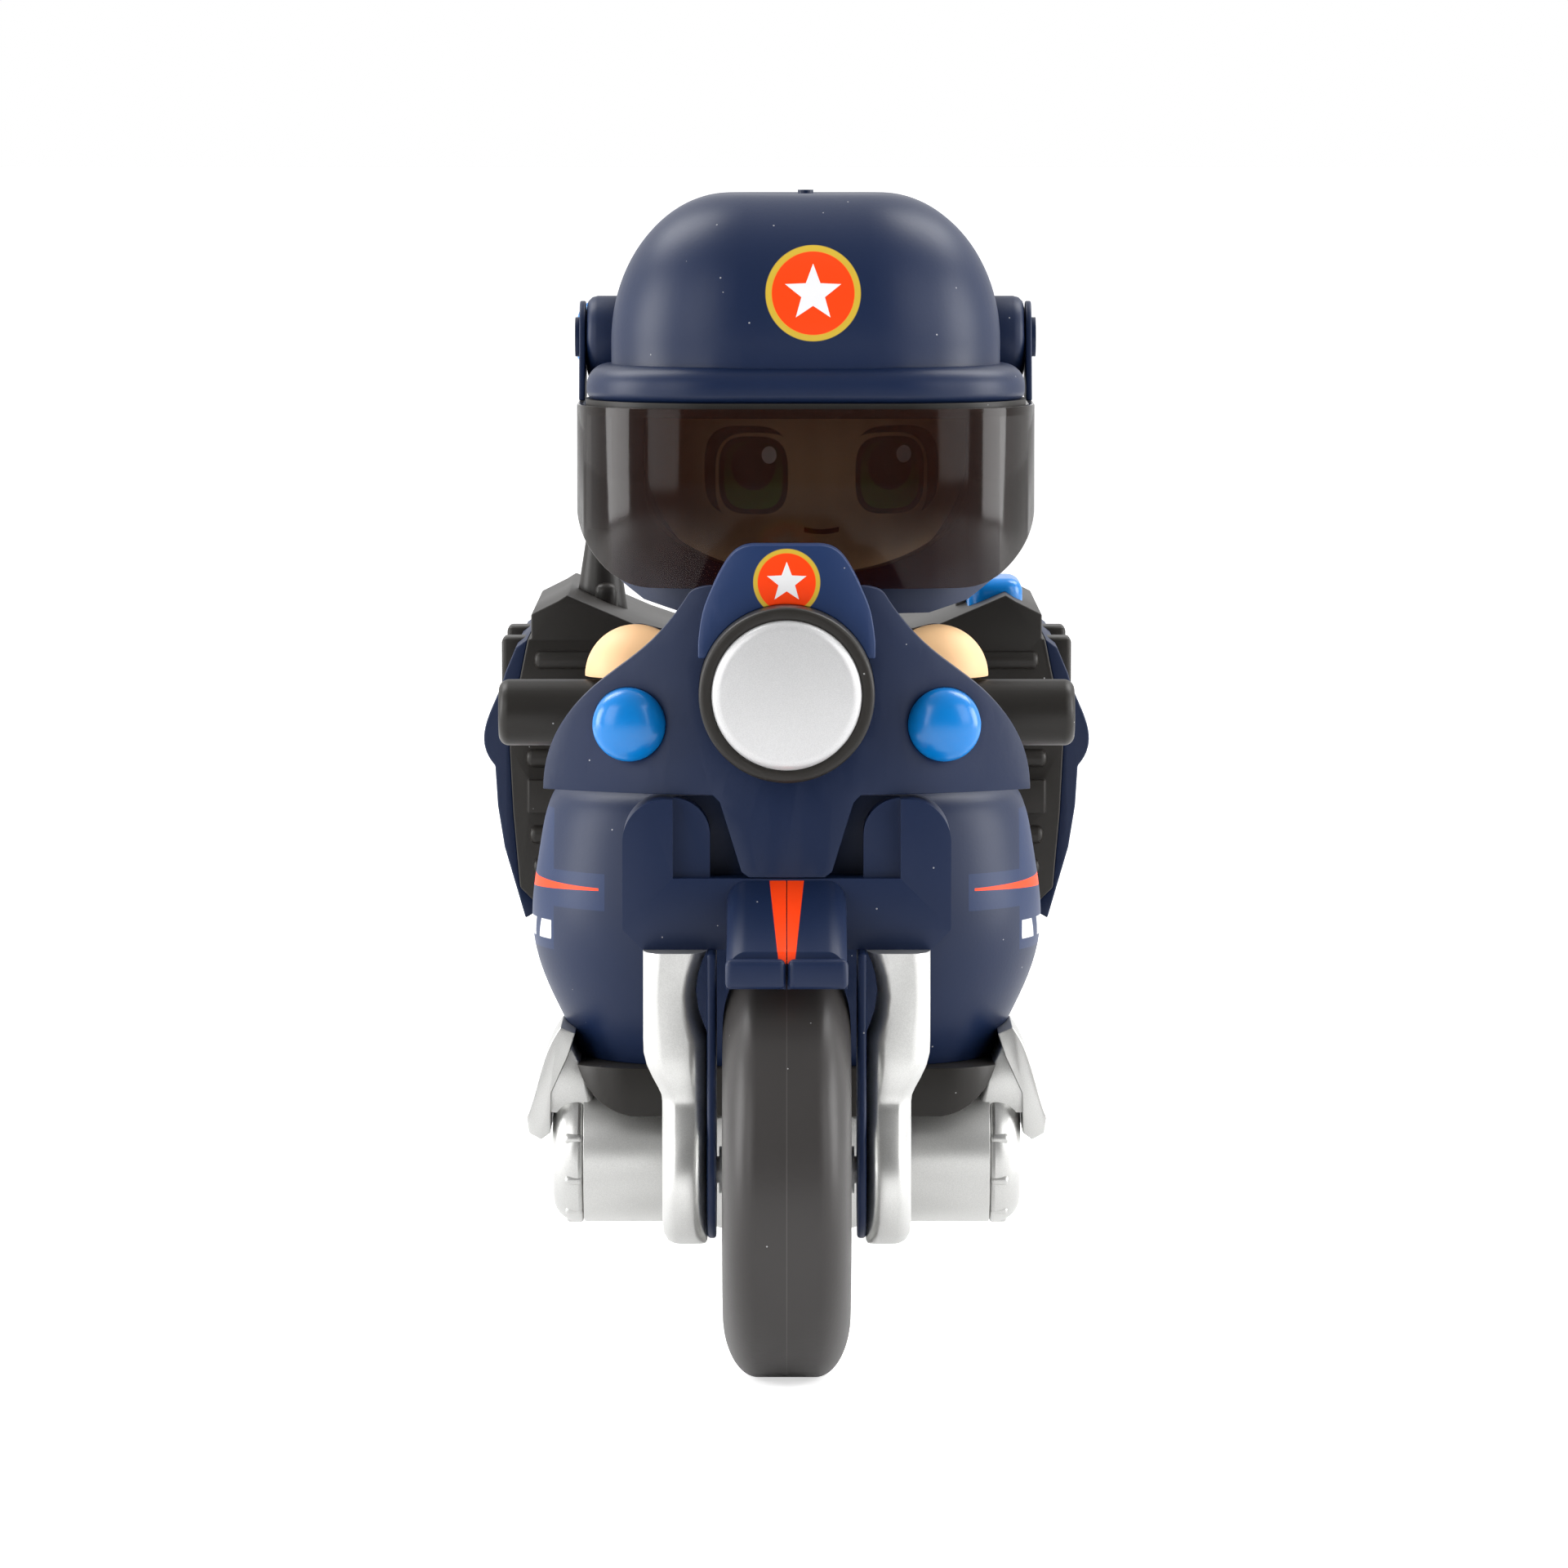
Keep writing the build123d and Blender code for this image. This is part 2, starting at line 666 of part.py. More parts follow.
with BuildPart() as seat:
    with BuildSketch(Plane.YZ.offset(-SEAT_HALF)):
        with BuildLine():
            Polyline(
                (COWL_BACK + 0.3, 57.8),
                (COWL_BACK + 0.3, 61.0),
                (COWL_BACK + 1.3, SEAT_TOP),
                (19.6, SEAT_TOP),
                (23.4, 66.0),
                (24.4, 71.0),
                (26.2, 71.8),
                (26.9, 70.6),
                (26.9, 57.8),
                close=True,
            )
        make_face()
    extrude(amount=2 * SEAT_HALF)
save(seat.part, "seat")

with BuildPart() as tail_lamp:
    with BuildSketch(facing(CASE_BACK + 2.4)):
        with Locations((0, 60.0)):
            RectangleRounded(14.0, 5.0, 1.6)
    extrude(amount=2.4)
    fillet(tail_lamp.edges().group_by(Axis.Y)[-1], radius=1.0)
save(tail_lamp.part, "tail_lamp")

CASE_SIDE = ((32.0, 47.0), (32.8, 56.0), (33.2, 64.0), (32.2, 71.0), (31.0, 76.9))
with BuildPart() as pannier:
    with BuildSketch(facing(CASE_BACK)):
        with BuildLine():
            Polyline((CASE_IN, 46.6), (CASE_IN, 77.0), (17.0, 78.2), (26.3, 82.2))
            Polyline((26.3, 82.2), (27.4, 81.5), (30.6, 79.9), (30.6, 76.9), CASE_SIDE[-1])
            Polyline(*reversed(CASE_SIDE))
            Polyline(CASE_SIDE[0], (30.0, 45.0), (15.2, 45.0), (CASE_IN, 46.6))
        make_face()
    extrude(amount=CASE_BACK - CASE_FRONT)
    # a raised band runs round the front of the case
    with BuildSketch(facing(CASE_FRONT)):
        with Locations(((CASE_IN + 32.0) / 2, 58.0)):
            Rectangle(30.0 - CASE_IN, 4.0)
    extrude(amount=0.8)
save_pair(pannier.part, "pannier")

with BuildPart() as case_cover:
    with BuildSketch(facing(LENGTH / 2)):
        with BuildLine():
            Polyline(*CASE_SIDE)
            Polyline(CASE_SIDE[-1], (32.5, 75.8), (33.8, 72.7))
            Spline((33.8, 72.7), (35.2, 69.0), (36.3, 65.6), (35.0, 61.6))
            Polyline((35.0, 61.6), (34.7, 56.8), (33.9, 51.8), (31.4, 43.2))
            Polyline((31.4, 43.2), (30.0, 44.0), (30.0, 45.0), CASE_SIDE[0])
        make_face()
    extrude(amount=LENGTH / 2 - CASE_FRONT - 1.0)
    # the cover wraps round the back of the case
    with BuildSketch(facing(LENGTH / 2)):
        with BuildLine():
            Polyline((16.0, 46.6), (16.0, 76.6), (26.3, 80.6), (30.0, 78.6), (31.0, 76.9))
            Polyline(CASE_SIDE[-1], *reversed(CASE_SIDE[:-1]))
            Polyline(CASE_SIDE[0], (30.0, 45.0), (17.0, 45.0), (16.0, 46.6))
        make_face()
    extrude(amount=LENGTH / 2 - CASE_BACK)
save_pair(case_cover.part, "case_cover")

with BuildPart() as rear_lamp:
    with BuildSketch(Plane.XY.offset(79.0)):
        with Locations((25.2, 38.0)):
            RectangleRounded(6.6, 12.0, 2.0)
    extrude(amount=4.7)
    fillet(rear_lamp.edges().group_by(Axis.Z)[-1], radius=1.6)
    add(pannier.part, mode=Mode.SUBTRACT)
save(rear_lamp.part, "rear_lamp")

POLE_X = -22.6
POLE_Y = 45.0
POLE_R = 1.25
POLE_LOW = 89.0
POLE_TOP = 109.5
BEACON_R = 2.9
BEACON_HIGH = 7.5
with BuildPart() as pole_foot:
    with BuildSketch(Plane.XY.offset(78.0)):
        with Locations((POLE_X, POLE_Y)):
            Circle(3.4)
    with BuildSketch(Plane.XY.offset(POLE_LOW)):
        with Locations((POLE_X, POLE_Y)):
            Circle(1.7)
    loft()
    add(mirrored(pannier.part), mode=Mode.SUBTRACT)
save(pole_foot.part, "pole_foot")

with BuildPart() as pole:
    with BuildSketch(Plane.XY.offset(POLE_LOW)):
        with Locations((POLE_X, POLE_Y)):
            Circle(POLE_R)
    extrude(amount=POLE_TOP - POLE_LOW)
save(pole.part, "pole")

with BuildPart() as beacon:
    with BuildSketch(Plane.XY.offset(POLE_TOP)):
        with Locations((POLE_X, POLE_Y)):
            Circle(BEACON_R)
    extrude(amount=BEACON_HIGH)
    fillet(beacon.edges().group_by(Axis.Z)[-1], radius=BEACON_R - 0.3)
    fillet(beacon.edges().group_by(Axis.Z)[0], radius=0.6)
save(beacon.part, "beacon")

# --- rider -------------------------------------------------------------
def limb_between(start, end):
    """A plane at start whose normal points to end, and the distance between them."""
    along = Vector(*end) - Vector(*start)
    return Plane(origin=start, z_dir=along.normalized()), along.length


HIP = (12.0, 10.0, 65.8)
KNEE = (16.5, 9.6, 53.0)
ANKLE = (17.3, 13.5, 40.0)
SHOULDER = (11.5, 2.0, 75.3)
WRIST = (17.0, -20.6, 79.2)
HAND = (17.1, -25.4, 76.3)
HAND_R = 5.8
SHOULDER_TOP = 79.0

with BuildPart() as leg:
    thigh, thigh_length = limb_between(HIP, KNEE)
    with BuildSketch(thigh):
        Circle(4.4)
    with BuildSketch(thigh.offset(thigh_length)):
        Circle(4.1)
    loft()
    shin, shin_length = limb_between(KNEE, ANKLE)
    with BuildSketch(shin):
        Circle(4.1)
    with BuildSketch(shin.offset(shin_length)):
        Circle(3.4)
    loft()
    with Locations(HIP):
        Sphere(4.4)
    with Locations(KNEE):
        Sphere(4.1)
save_pair(leg.part, "leg")

with BuildPart() as boot:
    with BuildSketch(Plane.XY.offset(31.5)):
        with Locations((17.3, 14.2)):
            RectangleRounded(8.0, 15.6, 3.0)
    extrude(amount=5.2)
    with BuildSketch(Plane.XY.offset(36.7)):
        with Locations((17.3, 15.0)):
            Circle(4.0)
    extrude(amount=4.6)
    add(leg.part, mode=Mode.SUBTRACT)
save_pair(boot.part, "boot")

with BuildPart() as arm:
    sleeve, sleeve_length = limb_between(SHOULDER, WRIST)
    with BuildSketch(sleeve):
        Circle(3.6)
    with BuildSketch(sleeve.offset(sleeve_length)):
        Circle(2.7)
    loft()
    with Locations(SHOULDER):
        Sphere(3.6)
save_pair(arm.part, "arm")

with BuildPart() as hand:
    with Locations(HAND):
        Sphere(HAND_R)
    with Locations(HAND):
        Box(20, 20, 10, align=(Align.CENTER, Align.CENTER, Align.MAX), mode=Mode.SUBTRACT)
    add(arm.part, mode=Mode.SUBTRACT)
save_pair(hand.part, "hand")

with BuildPart() as torso:
    with BuildSketch(Plane.XY.offset(SEAT_TOP + CLEAR)):
        with Locations((0, 10.2)):
            RectangleRounded(18.0, 14.6, 4.5)
    with BuildSketch(Plane.XY.offset(SHOULDER_TOP)):
        with Locations((0, 0.6)):
            RectangleRounded(19.0, 13.6, 4.5)
    loft()
    with BuildSketch(Plane.XY.offset(SHOULDER_TOP - 3.0)):
        with Locations((HEAD_X, HEAD_Y)):
            Circle(NECK_R)
    extrude(amount=NECK_TOP - SHOULDER_TOP + 3.0)
    for side in (leg.part, mirrored(leg.part), arm.part, mirrored(arm.part)):
        add(side, mode=Mode.SUBTRACT)
save(torso.part, "torso")

# --- head and helmet ---------------------------------------------------
with BuildPart() as head:
    with Locations((0, HEAD_Y, HEAD_Z)):
        Sphere(HEAD_R)
    with Locations((0, HEAD_Y, HEAD_LOW)):
        Box(50, 50, 20, align=(Align.CENTER, Align.CENTER, Align.MAX), mode=Mode.SUBTRACT)
    with BuildSketch(Plane.XY.offset(HEAD_LOW)):
        with Locations((0, HEAD_Y)):
            Circle(NECK_R + RUNNING_FIT)
    extrude(amount=NECK_TOP + CLEAR - HEAD_LOW, mode=Mode.SUBTRACT)
save_with_head(head.part, "head")

SHELL_REAR = 21.5
SHELL_MID = (SHELL_FRONT + SHELL_REAR) / 2
SHELL_DEPTH = (SHELL_REAR - SHELL_FRONT) / 2


def dome_section(t):
    """A level of the dome: t runs from 0 at its base to 1 at its flat top."""
    pull = (DOME_HALF - DOME_FLAT) * (1 - sqrt(1 - t * t))
    z = DOME_BASE + (DOME_TOP - DOME_BASE) * t
    sketch = RectangleRounded(
        2 * (DOME_HALF - pull), 2 * (SHELL_DEPTH - pull), DOME_CORNER - pull
    )
    return Plane(origin=(0, SHELL_MID, z)) * sketch


DOME_FORM = loft([dome_section(t) for t in (0, 0.35, 0.6, 0.8, 0.92, 0.985, 1.0)])

# the brim is a slab with rolled edges, wider than the dome
BRIM_BACK = 6.0
BRIM_PLAN = RectangleRounded(2 * BRIM_HALF, BRIM_BACK - BRIM_FRONT, BRIM_CORNER)
BRIM_SLAB = extrude(
    Plane(origin=(0, (BRIM_FRONT + BRIM_BACK) / 2, BRIM_LOW)) * BRIM_PLAN, BRIM_HIGH - BRIM_LOW
)
BRIM_FORM = fillet(BRIM_SLAB.edges().group_by(Axis.Z)[-1], radius=BRIM_ROLL)
BRIM_FORM = fillet(BRIM_FORM.edges().group_by(Axis.Z)[0], radius=BRIM_LIP)

with BuildPart() as helmet:
    add(DOME_FORM)
    with BuildSketch(Plane.XY.offset(SHELL_LOW)):
        with Locations((0, SHELL_MID)):
            RectangleRounded(2 * DOME_HALF, 2 * SHELL_DEPTH, DOME_CORNER)
    extrude(amount=DOME_BASE - SHELL_LOW)
    add(BRIM_FORM)
    # ear bosses that carry the visor
    with BuildSketch(across(EAR_Y, EAR_Z)):
        Circle(EAR_R - CLEAR)
    extrude(amount=BRIM_HALF, both=True)
    # pins with flat heads that the arms turn on
    with BuildSketch(across(EAR_Y, EAR_Z)):
        Circle(PIN_R)
    extrude(amount=VISOR_HALF + RUNNING_FIT + PIN_HEAD, both=True)
    for side in (-1, 1):
        with BuildSketch(across(EAR_Y, EAR_Z).offset(side * (VISOR_HALF + RUNNING_FIT + PIN_HEAD / 2))):
            Circle(PIN_HEAD_R)
        extrude(amount=PIN_HEAD / 2, both=True)
    # room for the head, straight walled so that the helmet lifts off
    with BuildSketch(Plane.XY.offset(SHELL_LOW)):
        with Locations((0, HEAD_Y)):
            Circle(CAVITY_R)
    extrude(amount=CAVITY_Z - SHELL_LOW, mode=Mode.SUBTRACT)
    with Locations((0, HEAD_Y, CAVITY_Z)):
        Sphere(CAVITY_R, mode=Mode.SUBTRACT)
    # face opening and the raised lower edge at the sides
    with BuildSketch(facing(-8.0)):
        with BuildLine():
            Polyline(
                (-FACE_HALF, FACE_MID), (-FACE_HALF, FACE_TOP), (FACE_HALF, FACE_TOP), (FACE_HALF, FACE_MID)
            )
            EllipticalCenterArc((0, FACE_MID), FACE_HALF, FACE_DROP, start_angle=180, arc_size=180)
        make_face()
    extrude(amount=30, mode=Mode.SUBTRACT)
    with BuildSketch(facing(60.0)):
        with BuildLine():
            Polyline((14.0, SHELL_LOW), (18.5, 84.6), (22.0, 87.0), (30.0, 87.0), (30.0, 80.0), (14.0, 80.0))
            Line((14.0, 80.0), (14.0, SHELL_LOW))
        make_face()
        mirror(about=Plane.YZ)
    extrude(amount=120, mode=Mode.SUBTRACT)
    with BuildSketch(Plane.XY.offset(DOME_TOP - 0.3)):
        with Locations((0, SHELL_MID)):
            Circle(0.9)
    extrude(amount=HEIGHT - DOME_TOP + 0.3)
save_with_head(helmet.part, "helmet")

# --- visor -------------------------------------------------------------
VISOR_MID = (VISOR_FRONT + 60.0) / 2
VISOR_DEPTH = 60.0 - VISOR_FRONT
with BuildPart() as visor:
    with BuildSketch(Plane.XY.offset(VISOR_LOW)):
        with Locations((0, VISOR_MID)):
            RectangleRounded(2 * VISOR_HALF, VISOR_DEPTH, VISOR_CORNER)
            RectangleRounded(
                2 * (VISOR_HALF - VISOR_WALL),
                VISOR_DEPTH - 2 * VISOR_WALL,
                VISOR_CORNER - VISOR_WALL,
                mode=Mode.SUBTRACT,
            )
        with Locations((0, VISOR_BACK + 40)):
            Rectangle(80, 80, mode=Mode.SUBTRACT)
    extrude(amount=VISOR_HIGH - VISOR_LOW)
    with BuildSketch(facing(40.0)):
        with BuildLine():
            Spline((17.5, VISOR_LOW), (23.6, 89.0), (VISOR_HALF + 0.1, 96.0), tangents=((1, 0), (0, 1)))
            Polyline((VISOR_HALF + 0.1, 96.0), (30.0, 96.0), (30.0, 80.0), (17.5, 80.0), (17.5, VISOR_LOW))
        make_face()
        mirror(about=Plane.YZ)
    extrude(amount=100, mode=Mode.SUBTRACT)
    with BuildSketch(Plane.YZ.offset(-40)):
        with BuildLine():
            Polyline((VISOR_BACK, VISOR_HIGH), (-2.0, VISOR_LOW), (40, VISOR_LOW - 4), (40, VISOR_HIGH))
            Line((40, VISOR_HIGH), (VISOR_BACK, VISOR_HIGH))
        make_face()
    extrude(amount=80, mode=Mode.SUBTRACT)
save_with_head(visor.part, "visor")

with BuildPart() as visor_arms:
    for side in (-1, 1):
        plane = across(EAR_Y, EAR_Z).offset(side * (VISOR_HALF - VISOR_WALL / 2))
        with BuildSketch(plane):
            Circle(EAR_R)
            with BuildLine():
                Polyline(
                    (-EAR_R, 0),
                    (-EAR_R - 2.0, VISOR_HIGH - EAR_Z),
                    (EAR_R, VISOR_HIGH - EAR_Z),
                    (EAR_R, 0),
                    close=True,
                )
            make_face()
            Circle(PIN_R + RUNNING_FIT, mode=Mode.SUBTRACT)
        extrude(amount=VISOR_WALL / 2, both=True)
save_with_head(visor_arms.part, "visor_arms")
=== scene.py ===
import json
import math

import bpy
from mathutils import Matrix, Vector


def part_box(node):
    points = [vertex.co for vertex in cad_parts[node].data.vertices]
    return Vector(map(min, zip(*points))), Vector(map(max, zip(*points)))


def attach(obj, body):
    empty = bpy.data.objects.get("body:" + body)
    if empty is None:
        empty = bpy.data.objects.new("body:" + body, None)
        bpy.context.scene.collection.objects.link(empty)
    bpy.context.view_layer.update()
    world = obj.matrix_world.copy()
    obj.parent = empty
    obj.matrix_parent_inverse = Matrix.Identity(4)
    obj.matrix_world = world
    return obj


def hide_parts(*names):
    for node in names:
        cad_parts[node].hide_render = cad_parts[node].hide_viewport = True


bl_info = {
    "name": "Toy police motorcycle",
    "version": (1, 0, 0),
    "blender": (4, 5, 0),
    "location": "View3D > Sidebar > Toy",
    "description": "Dresses a moulded plastic toy motorcycle and its rider",
    "category": "Object",
}

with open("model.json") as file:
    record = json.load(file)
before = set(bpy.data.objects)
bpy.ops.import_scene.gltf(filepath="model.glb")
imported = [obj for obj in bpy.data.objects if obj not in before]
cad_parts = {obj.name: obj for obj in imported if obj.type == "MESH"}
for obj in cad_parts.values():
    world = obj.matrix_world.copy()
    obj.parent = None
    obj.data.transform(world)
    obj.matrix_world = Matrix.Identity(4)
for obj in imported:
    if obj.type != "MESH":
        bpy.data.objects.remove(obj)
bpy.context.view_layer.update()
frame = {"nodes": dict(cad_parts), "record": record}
MM = 0.001
HANDS = ((1, "left"), (-1, "right"))  # the rider's left is +X


def pair(name):
    return [f"{name}_{hand}" for side, hand in HANDS]


BODY_OF = {node: body for body, nodes in frame["record"]["behaviour"]["bodies"].items() for node in nodes}
SLOT_OF = {part["node"]: part["material_slot"] for part in frame["record"]["subparts"]}
HEAD_LOW, HEAD_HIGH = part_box("head")
HEAD_X = (HEAD_LOW.x + HEAD_HIGH.x) / 2
LENS_LOW, LENS_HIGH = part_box("headlamp_lens")
LAMP_Z = (LENS_LOW.z + LENS_HIGH.z) / 2


# --- sizes and colours a user would change ------------------------------
def colour(label, what, default):
    return bpy.props.FloatVectorProperty(
        name=label, description=what, default=default, subtype="COLOR", size=3, min=0, max=1
    )


def length(label, what, default):
    return bpy.props.FloatProperty(name=label, description=what, default=default, unit="LENGTH")


class ToyColours(bpy.types.PropertyGroup):
    navy: colour("Navy", "Satin plastic of the body", (0.006, 0.015, 0.050))
    panel: colour("Panel", "Brighter plastic of the fairing's panel", (0.014, 0.034, 0.108))
    uniform: colour("Uniform", "The rider's clothes", (0.007, 0.013, 0.042))
    black: colour("Black", "Black plastic", (0.018, 0.016, 0.014))
    silver: colour("Silver", "Silver paint", (0.67, 0.67, 0.655))
    pearl: colour("Pearl", "Headlamp disc and blank plate", (0.63, 0.63, 0.635))
    blue: colour("Blue", "Lamps", (0.0, 0.19, 0.58))
    red: colour("Red", "Stripes and badge", (1.0, 0.055, 0.002))
    gold: colour("Gold", "Badge rim", (0.62, 0.42, 0.04))
    tyre: colour("Tyre", "Tyres", (0.04, 0.037, 0.036))
    skin: colour("Skin", "Head and hands", (1.0, 0.59, 0.31))
    smoke: colour("Smoke", "Tint of the visor", (0.017, 0.0035, 0.0012))


class ToySizes(bpy.types.PropertyGroup):
    edge: length("Edge", "Rounding of moulded edges", 0.35 * MM)
    seam: length("Seam", "Width of a mould line", 0.12 * MM)
    badge: length("Badge", "Radius of the helmet badge", 5.4 * MM)
    panel_badge: length("Panel badge", "Radius of the fairing badge", 3.7 * MM)


def sizes():
    return bpy.context.scene.toy_sizes


def colours():
    return bpy.context.scene.toy_colours


# --- shader arithmetic --------------------------------------------------
class Value:
    """A socket's value; arithmetic on a number adds Math nodes."""

    def __init__(self, shading, socket):
        self.shading = shading
        self.socket = socket

    def math(self, operation, *others):
        inputs = dict(enumerate((self, *others)))
        return self.shading.node("ShaderNodeMath", {"operation": operation}, inputs)

    def __add__(self, other):
        return self.math("ADD", other)

    def __sub__(self, other):
        return self.math("SUBTRACT", other)

    def __rsub__(self, other):
        return self.shading.node("ShaderNodeMath", {"operation": "SUBTRACT"}, {0: other, 1: self})

    def __mul__(self, other):
        return self.math("MULTIPLY", other)

    def __truediv__(self, other):
        return self.math("DIVIDE", other)

    def __gt__(self, other):
        return self.math("GREATER_THAN", other)

    def __lt__(self, other):
        return self.math("LESS_THAN", other)

    def __abs__(self):
        return self.math("ABSOLUTE")

    def __or__(self, other):
        return self.math("MAXIMUM", other)

    def __and__(self, other):
        return self.math("MINIMUM", other)

    __radd__ = __add__
    __rmul__ = __mul__

    def __rtruediv__(self, other):
        return self.shading.node("ShaderNodeMath", {"operation": "DIVIDE"}, {0: other, 1: self})

    def __pow__(self, other):
        return self.math("POWER", other)

    def root(self):
        return self.math("SQRT")

    def below(self, edge, soft):
        """1 where this is under edge, 0 over it, with a soft step between."""
        ramp = {"From Min": edge - soft, "From Max": edge + soft, "To Min": 1.0, "To Max": 0.0}
        return self.shading.node("ShaderNodeMapRange", {"clamp": True}, {"Value": self, **ramp})


def opaque(tint):
    """A plain tint with its fourth number; a Value passes through."""
    return tint if isinstance(tint, Value) else (*tint, 1.0)


class Shading:
    """A node tree; every node in it comes from the method called node."""

    def __init__(self, tree):
        self.tree = tree

    def feed(self, socket, value):
        if isinstance(value, Value):
            self.tree.links.new(value.socket, socket)
        else:
            socket.default_value = value

    def node(self, kind, settings, inputs, output=0):
        """Adds a node: its settings, then the values or links of its sockets."""
        made = self.tree.nodes.new(kind)
        for name, value in settings.items():
            setattr(made, name, value)
        for name, value in inputs.items():
            self.feed(made.inputs[name], value)
        return Value(self, made.outputs[output])

    def split(self, vector):
        """A vector's three numbers."""
        first = self.node("ShaderNodeSeparateXYZ", {}, {"Vector": vector})
        return [Value(self, output) for output in first.socket.node.outputs]

    def seen(self):
        """1 where the camera looks straight at the surface."""
        return self.node("ShaderNodeLightPath", {}, {}, "Is Camera Ray")


class Finish(Shading):
    """A material, with the few nodes that every finish here is made from."""

    def __init__(self, name):
        self.material = bpy.data.materials.new(name)
        self.material.use_nodes = True
        super().__init__(self.material.node_tree)
        self.shader = self.tree.nodes["Principled BSDF"]
        self.place = self.node("ShaderNodeTexCoord", {}, {}, "Object")
        self.axes = None

    def set(self, **sockets):
        """Sets the shader's sockets; an underscore in a name stands for a space."""
        for name, value in sockets.items():
            self.feed(self.shader.inputs[name.replace("_", " ")], value)
        return self

    def xyz(self):
        """The three Object coordinates, in metres."""
        if self.axes is None:
            self.axes = self.split(self.place)
        return self.axes

    def noise(self, scale, detail=2.0, stretch=(1, 1, 1)):
        place = self.place
        if stretch != (1, 1, 1):
            place = self.node("ShaderNodeMapping", {}, {"Vector": place, "Scale": stretch})
        return self.node("ShaderNodeTexNoise", {}, {"Vector": place, "Scale": scale, "Detail": detail})

    def specks(self, scale, radius):
        """Sparse round specks: 1 inside a speck."""
        cells = {"Vector": self.place, "Scale": scale}
        return self.node("ShaderNodeTexVoronoi", {}, cells, "Distance") < radius

    def mix(self, factor, first, second):
        """The first colour where the factor is 0, the second where it is 1."""
        factor_socket, first_socket, second_socket, result = 0, 6, 7, 2
        first, second = (opaque(colour) for colour in (first, second))
        inputs = {factor_socket: factor, first_socket: first, second_socket: second}
        return self.node("ShaderNodeMix", {"data_type": "RGBA"}, inputs, result)

    def bump(self, height, strength, distance):
        heights = {"Height": height, "Strength": strength, "Distance": distance}
        return self.node("ShaderNodeBump", {}, heights)


INNER_CORNERS = 0.42  # of the star, against its outer ones
STAR_REACH = 0.62  # of the badge's radius
RIM_START = 0.87
PRINT_WHITE = (0.85, 0.85, 0.86)
PRINT_EDGE = 0.05 * MM


def star(across, up, outer):
    """A five-pointed star round a centre, 1 inside: across and up are measured from it."""
    fifth = math.radians(72)
    inner = outer * INNER_CORNERS
    corner = (inner * math.cos(fifth / 2), inner * math.sin(fifth / 2))
    turn = across.math("ARCTAN2", up)
    wrapped = abs(turn.math("WRAP", fifth / 2, -fifth / 2))
    reach = (across * across + up * up).root()
    ahead = reach * wrapped.math("COSINE")
    aside = reach * wrapped.math("SINE")
    return (aside * (corner[0] - outer) - (ahead - outer) * corner[1]) > 0


def badge(finish, skin, across, up, radius):
    """A round red badge with a gold rim and a white star, laid over a colour."""
    tints = colours()
    reach = (across * across + up * up).root()
    skin = finish.mix(reach.below(radius, PRINT_EDGE), skin, tuple(tints.gold))
    skin = finish.mix(reach.below(radius * RIM_START, PRINT_EDGE), skin, tuple(tints.red))
    return finish.mix(star(across, up, radius * STAR_REACH), skin, PRINT_WHITE)


def tone(tint, factor):
    """A tint made lighter or darker."""
    return tuple(min(1.0, part * factor) for part in tint)


# --- finishes -----------------------------------------------------------
def moulded(name, base, rough=0.42, peel=0.03, dust=True, print_on=None):
    """Satin moulded plastic with flow marks, fine orange peel and dust, under a printed pattern."""
    made = Finish(name)
    flow = made.noise(60.0, 3.0)
    grain = made.noise(2600.0, 2.0)
    skin = made.mix(flow, tone(base, 0.9), tone(base, 1.12))
    if dust:
        speck = made.specks(330.0, 0.032)
        skin = made.mix(speck * 0.6, skin, (0.55, 0.55, 0.56))
    if print_on:
        skin = print_on(made, skin)
    made.set(Base_Color=skin, Roughness=flow * 0.1 + grain * 0.04 + (rough - 0.05))
    made.set(Normal=made.bump(grain + flow * 2.0, peel, 0.0003))
    made.set(Specular_IOR_Level=0.28)
    return made


def silver_paint(name, base, metallic):
    """Fine metallic paint sprayed on plastic."""
    made = Finish(name)
    flakes = made.noise(9000.0, 1.0)
    cloud = made.noise(90.0, 3.0)
    body = made.mix(flakes, tone(base, 0.8), tone(base, 1.15))
    body = made.mix(cloud * 0.25, body, tone(base, 0.75))
    made.set(Base_Color=body, Metallic=metallic, Roughness=cloud * 0.1 + 0.3)
    made.set(Normal=made.bump(flakes + cloud * 2.0, 0.06, 0.0002))
    return made


def glossy(name, base, rough=0.22):
    """Shiny coloured plastic."""
    made = Finish(name)
    cloud = made.noise(120.0, 2.0)
    body = made.mix(cloud, tone(base, 0.92), tone(base, 1.06))
    made.set(Base_Color=body, Roughness=cloud * 0.05 + rough, Coat_Weight=0.05)
    made.set(Normal=made.bump(made.noise(700.0, 1.0), 0.02, 0.0002))
    return made


def steel(name):
    made = Finish(name)
    turned = made.noise(900.0, 2.0, (1, 6, 6))
    made.set(Base_Color=made.mix(turned, (0.45, 0.45, 0.46), (0.62, 0.62, 0.63)))
    made.set(Metallic=1.0, Roughness=turned * 0.15 + 0.25)
    return made


